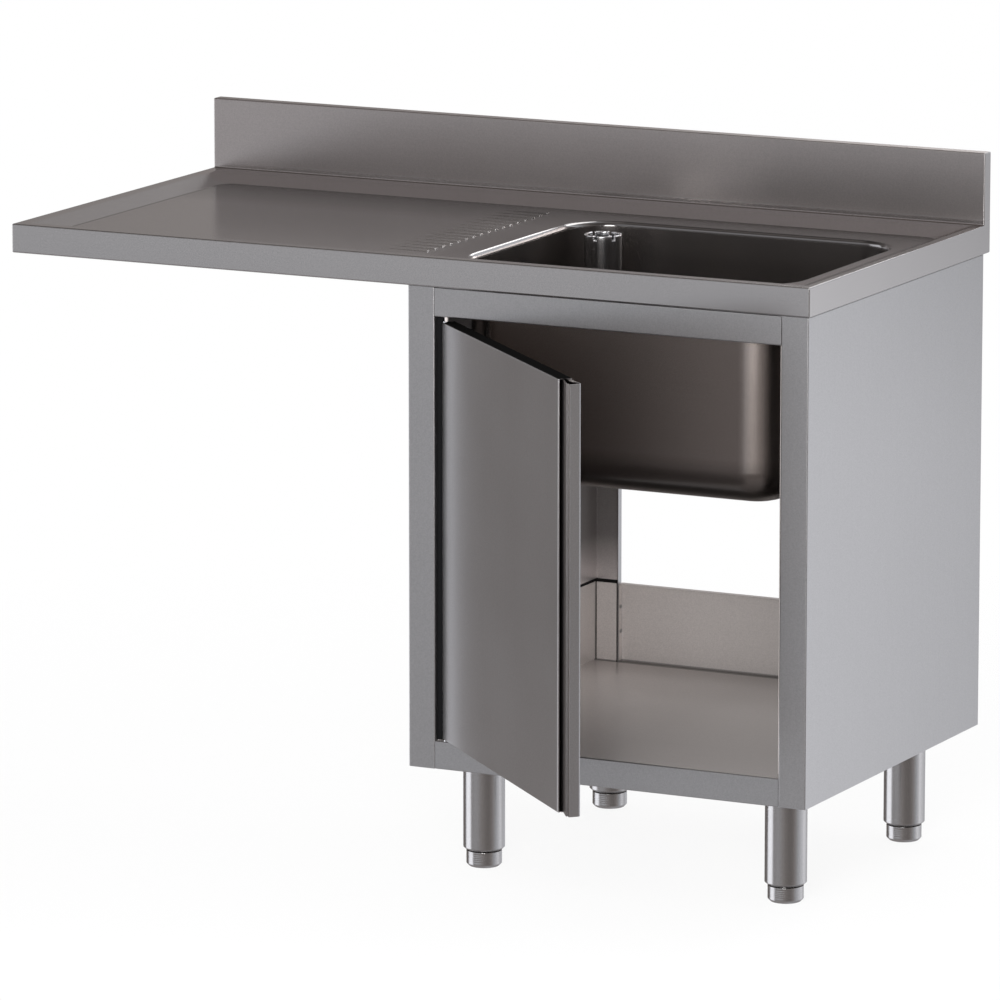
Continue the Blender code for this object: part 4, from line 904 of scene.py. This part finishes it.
# what the steel mirrors, by bearing and height: a white backdrop behind, a tall soft box on the left, a
# darker room in front, and a glow from the floor and overhead; each part fades over its spans
studio = {"daylight": (0.66, 0.66, 0.66), "white": (1.0, 1.0, 1.0), "darkest": 0.20,
          "backdrop": {"bearing": 40.0, "level": 0.78, "power": 2.0, "topSpan": (0.35, 0.85),
                       "topLoss": 0.6},
          "sideBox": {"bearing": -108.0, "level": 1.5, "span": (0.92, 0.966), "topSpan": (0.3, 0.6)},
          "room": {"bearing": -157.0, "level": 0.57, "power": 6.0, "topSpan": (-0.02, 0.2), "topLoss": 0.85,
                   "footSpan": (-0.34, -0.1)},
          "glow": {"level": 0.3, "power": 4.0, "footSpan": (0.25, 0.42), "topSpan": (0.6, 0.8)},
          "gap": {"loss": 0.5, "footSpan": (0.08, 0.16), "topSpan": (0.22, 0.34)},
          "floor": {"span": (0.28, 0.6), "loss": 0.85, "glowSpan": (0.3, 0.6), "level": 0.34},
          "overhead": {"span": (0.82, 0.95), "level": 0.22},
          "tint": {"span": (0.24, 0.56), "dark": (1.06, 0.97, 0.94), "bright": (0.97, 0.99, 1.04)}}


def makeWorld():
    world = bpy.data.worlds.new("studio")
    world.use_nodes = True
    world.node_tree.nodes.clear()
    scene.world = world
    wire = Wire(world.node_tree)
    direction = wire.node("ShaderNodeTexCoord", {}, {}, "Generated")
    height = direction.axis("Z")
    level = direction.vector("MULTIPLY", (1.0, 1.0, 0.0)).vector("NORMALIZE")

    def ray(kind):
        return wire.node("ShaderNodeLightPath", {}, {}, kind)

    def towards(bearing):
        aim = (sin(radians(bearing)), cos(radians(bearing)), 0.0)
        return level.vector("DOT_PRODUCT", aim, output="Value")

    def below(span):
        return 1.0 - height.soft(span)

    s = studio
    part = s["backdrop"]
    backdrop = towards(part["bearing"]).atLeast(0.0) ** part["power"] * part["level"] + s["darkest"]
    backdrop = backdrop * (1.0 - height.soft(part["topSpan"]) * part["topLoss"])
    part = s["sideBox"]
    sideBox = towards(part["bearing"]).soft(part["span"]) * below(part["topSpan"]) * part["level"]
    part = s["room"]
    front = towards(part["bearing"]).atLeast(0.0)
    room = front ** part["power"] * part["level"] * height.soft(part["footSpan"])
    room = room * (1.0 - height.soft(part["topSpan"]) * part["topLoss"])
    part = s["glow"]
    glow = front ** part["power"] * part["level"] * height.soft(part["footSpan"]) * below(part["topSpan"])
    part = s["gap"]
    gap = front * height.soft(part["footSpan"]) * below(part["topSpan"]) * part["loss"]
    bright = (backdrop + sideBox + room + glow) * (1.0 - gap)
    part = s["floor"]
    depth = height * -1.0
    bright = bright * (1.0 - depth.soft(part["span"]) * part["loss"])
    bright = bright + depth.soft(part["glowSpan"]) * part["level"]
    part = s["overhead"]
    bright = bright + height.soft(part["span"]) * part["level"]
    part = s["tint"]
    mirrored = bright.scaled(bright.soft(part["span"]).mixed(part["dark"], part["bright"]))
    glossy = ray("Is Glossy Ray").atLeast(ray("Is Transmission Ray"))
    lit = glossy.mixed(s["daylight"], mirrored)
    final = ray("Is Camera Ray").mixed(lit, s["white"])
    background = wire.node("ShaderNodeBackground", {}, {"Color": final, "Strength": 1.0})
    wire.node("ShaderNodeOutputWorld", {}, {"Surface": background})


lamps = ({"name": "top_lamp", "at": (0.75, 2.6, 3.9), "looksAt": (0.3, 0.1, 0.84), "power": 45.0,
          "size": 2.6},
         {"name": "back_lamp", "at": (-0.9, 4.3, 2.85), "looksAt": (0.1, 0.1, 0.84), "power": 11.0,
          "size": 1.4},
         {"name": "front_lamp", "at": (1.25, -3.6, 1.5), "looksAt": (0.3, 0.0, 0.5), "power": 75.0,
          "size": 1.8},
         {"name": "cupboard_lamp", "at": (1.4, -2.6, 0.6), "looksAt": (0.36, 0.44, 0.26), "power": 85.0,
          "size": 1.5, "mirrored": False})


def makeLamps():
    for item in lamps:
        lamp = bpy.data.lights.new(item["name"], "AREA")
        lamp.energy = item["power"]
        lamp.shape = "DISK"
        lamp.size = item["size"]
        holder = bpy.data.objects.new(item["name"], lamp)
        holder.location = item["at"]
        holder.rotation_mode = "QUATERNION"
        aim = Vector(item["looksAt"]) - Vector(item["at"])
        holder.rotation_quaternion = aim.to_track_quat("-Z", "Y")
        holder.visible_glossy = item.get("mirrored", True)      # a lamp may be kept out of the steel
        scene.collection.objects.link(holder)


# a soft reflector beside the unit that only the steel shows, brighter towards the front
sideCard = {"at": (0.958, 0.876, 0.30), "half": (0.62, 0.85), "bearing": 26.565, "level": 0.93,
            "swing": 0.85, "dimFrom": 0.15, "dim": 0.5, "lowest": 0.5, "highest": 1.15, "edge": 0.4,
            "colour": (0.98, 0.99, 1.03)}


def makeSideCard():
    c = sideCard
    bm = bmesh.new()
    size = Matrix.Diagonal((*c["half"], 1.0, 1.0))
    bmesh.ops.create_grid(bm, x_segments=1, y_segments=1, size=1.0, matrix=size)
    card = stageMesh(bm, "side_card")
    card.location = c["at"]
    card.rotation_euler = (pi / 2, 0.0, -radians(c["bearing"]))
    card.visible_camera = False
    card.visible_diffuse = False
    card.visible_transmission = False
    card.visible_shadow = False
    material, wire, where = newMaterial("side_card")
    across, rise = where.axis("X"), where.axis("Y")
    level = across * c["swing"] + c["level"] - (rise - c["dimFrom"]).atLeast(0.0) * c["dim"]
    level = level.atLeast(c["lowest"]).atMost(c["highest"])
    sideways = (1.0 - abs(across) / c["half"][0]) / c["edge"]
    upright = (1.0 - abs(rise) / c["half"][1]) / c["edge"]
    shown = sideways.atMost(1.0) * upright.atMost(1.0)
    glow = wire.node("ShaderNodeEmission", {}, {"Color": level.scaled(c["colour"]), "Strength": 1.0})
    clear = wire.node("ShaderNodeBsdfTransparent", {}, {})
    surface(wire, wire.node("ShaderNodeMixShader", {}, {0: shown, 1: clear, 2: glow}))
    card.data.materials.append(material)


setCamera()
print("camera set")
makeWorktop()
makeRibs()
makeBowl()
makeStandpipe()
print("worktop, bowl and standpipe made")
makeSides()
makeRails()
makeStops()
makeShelf()
makeBackPanel()
print("cupboard made")
makeDoor()
print("door made")
makeLegs()
finishNodes()
print("legs made and fixings finished")
makeFloor()
makeWorld()
makeLamps()
makeSideCard()
print("studio set")
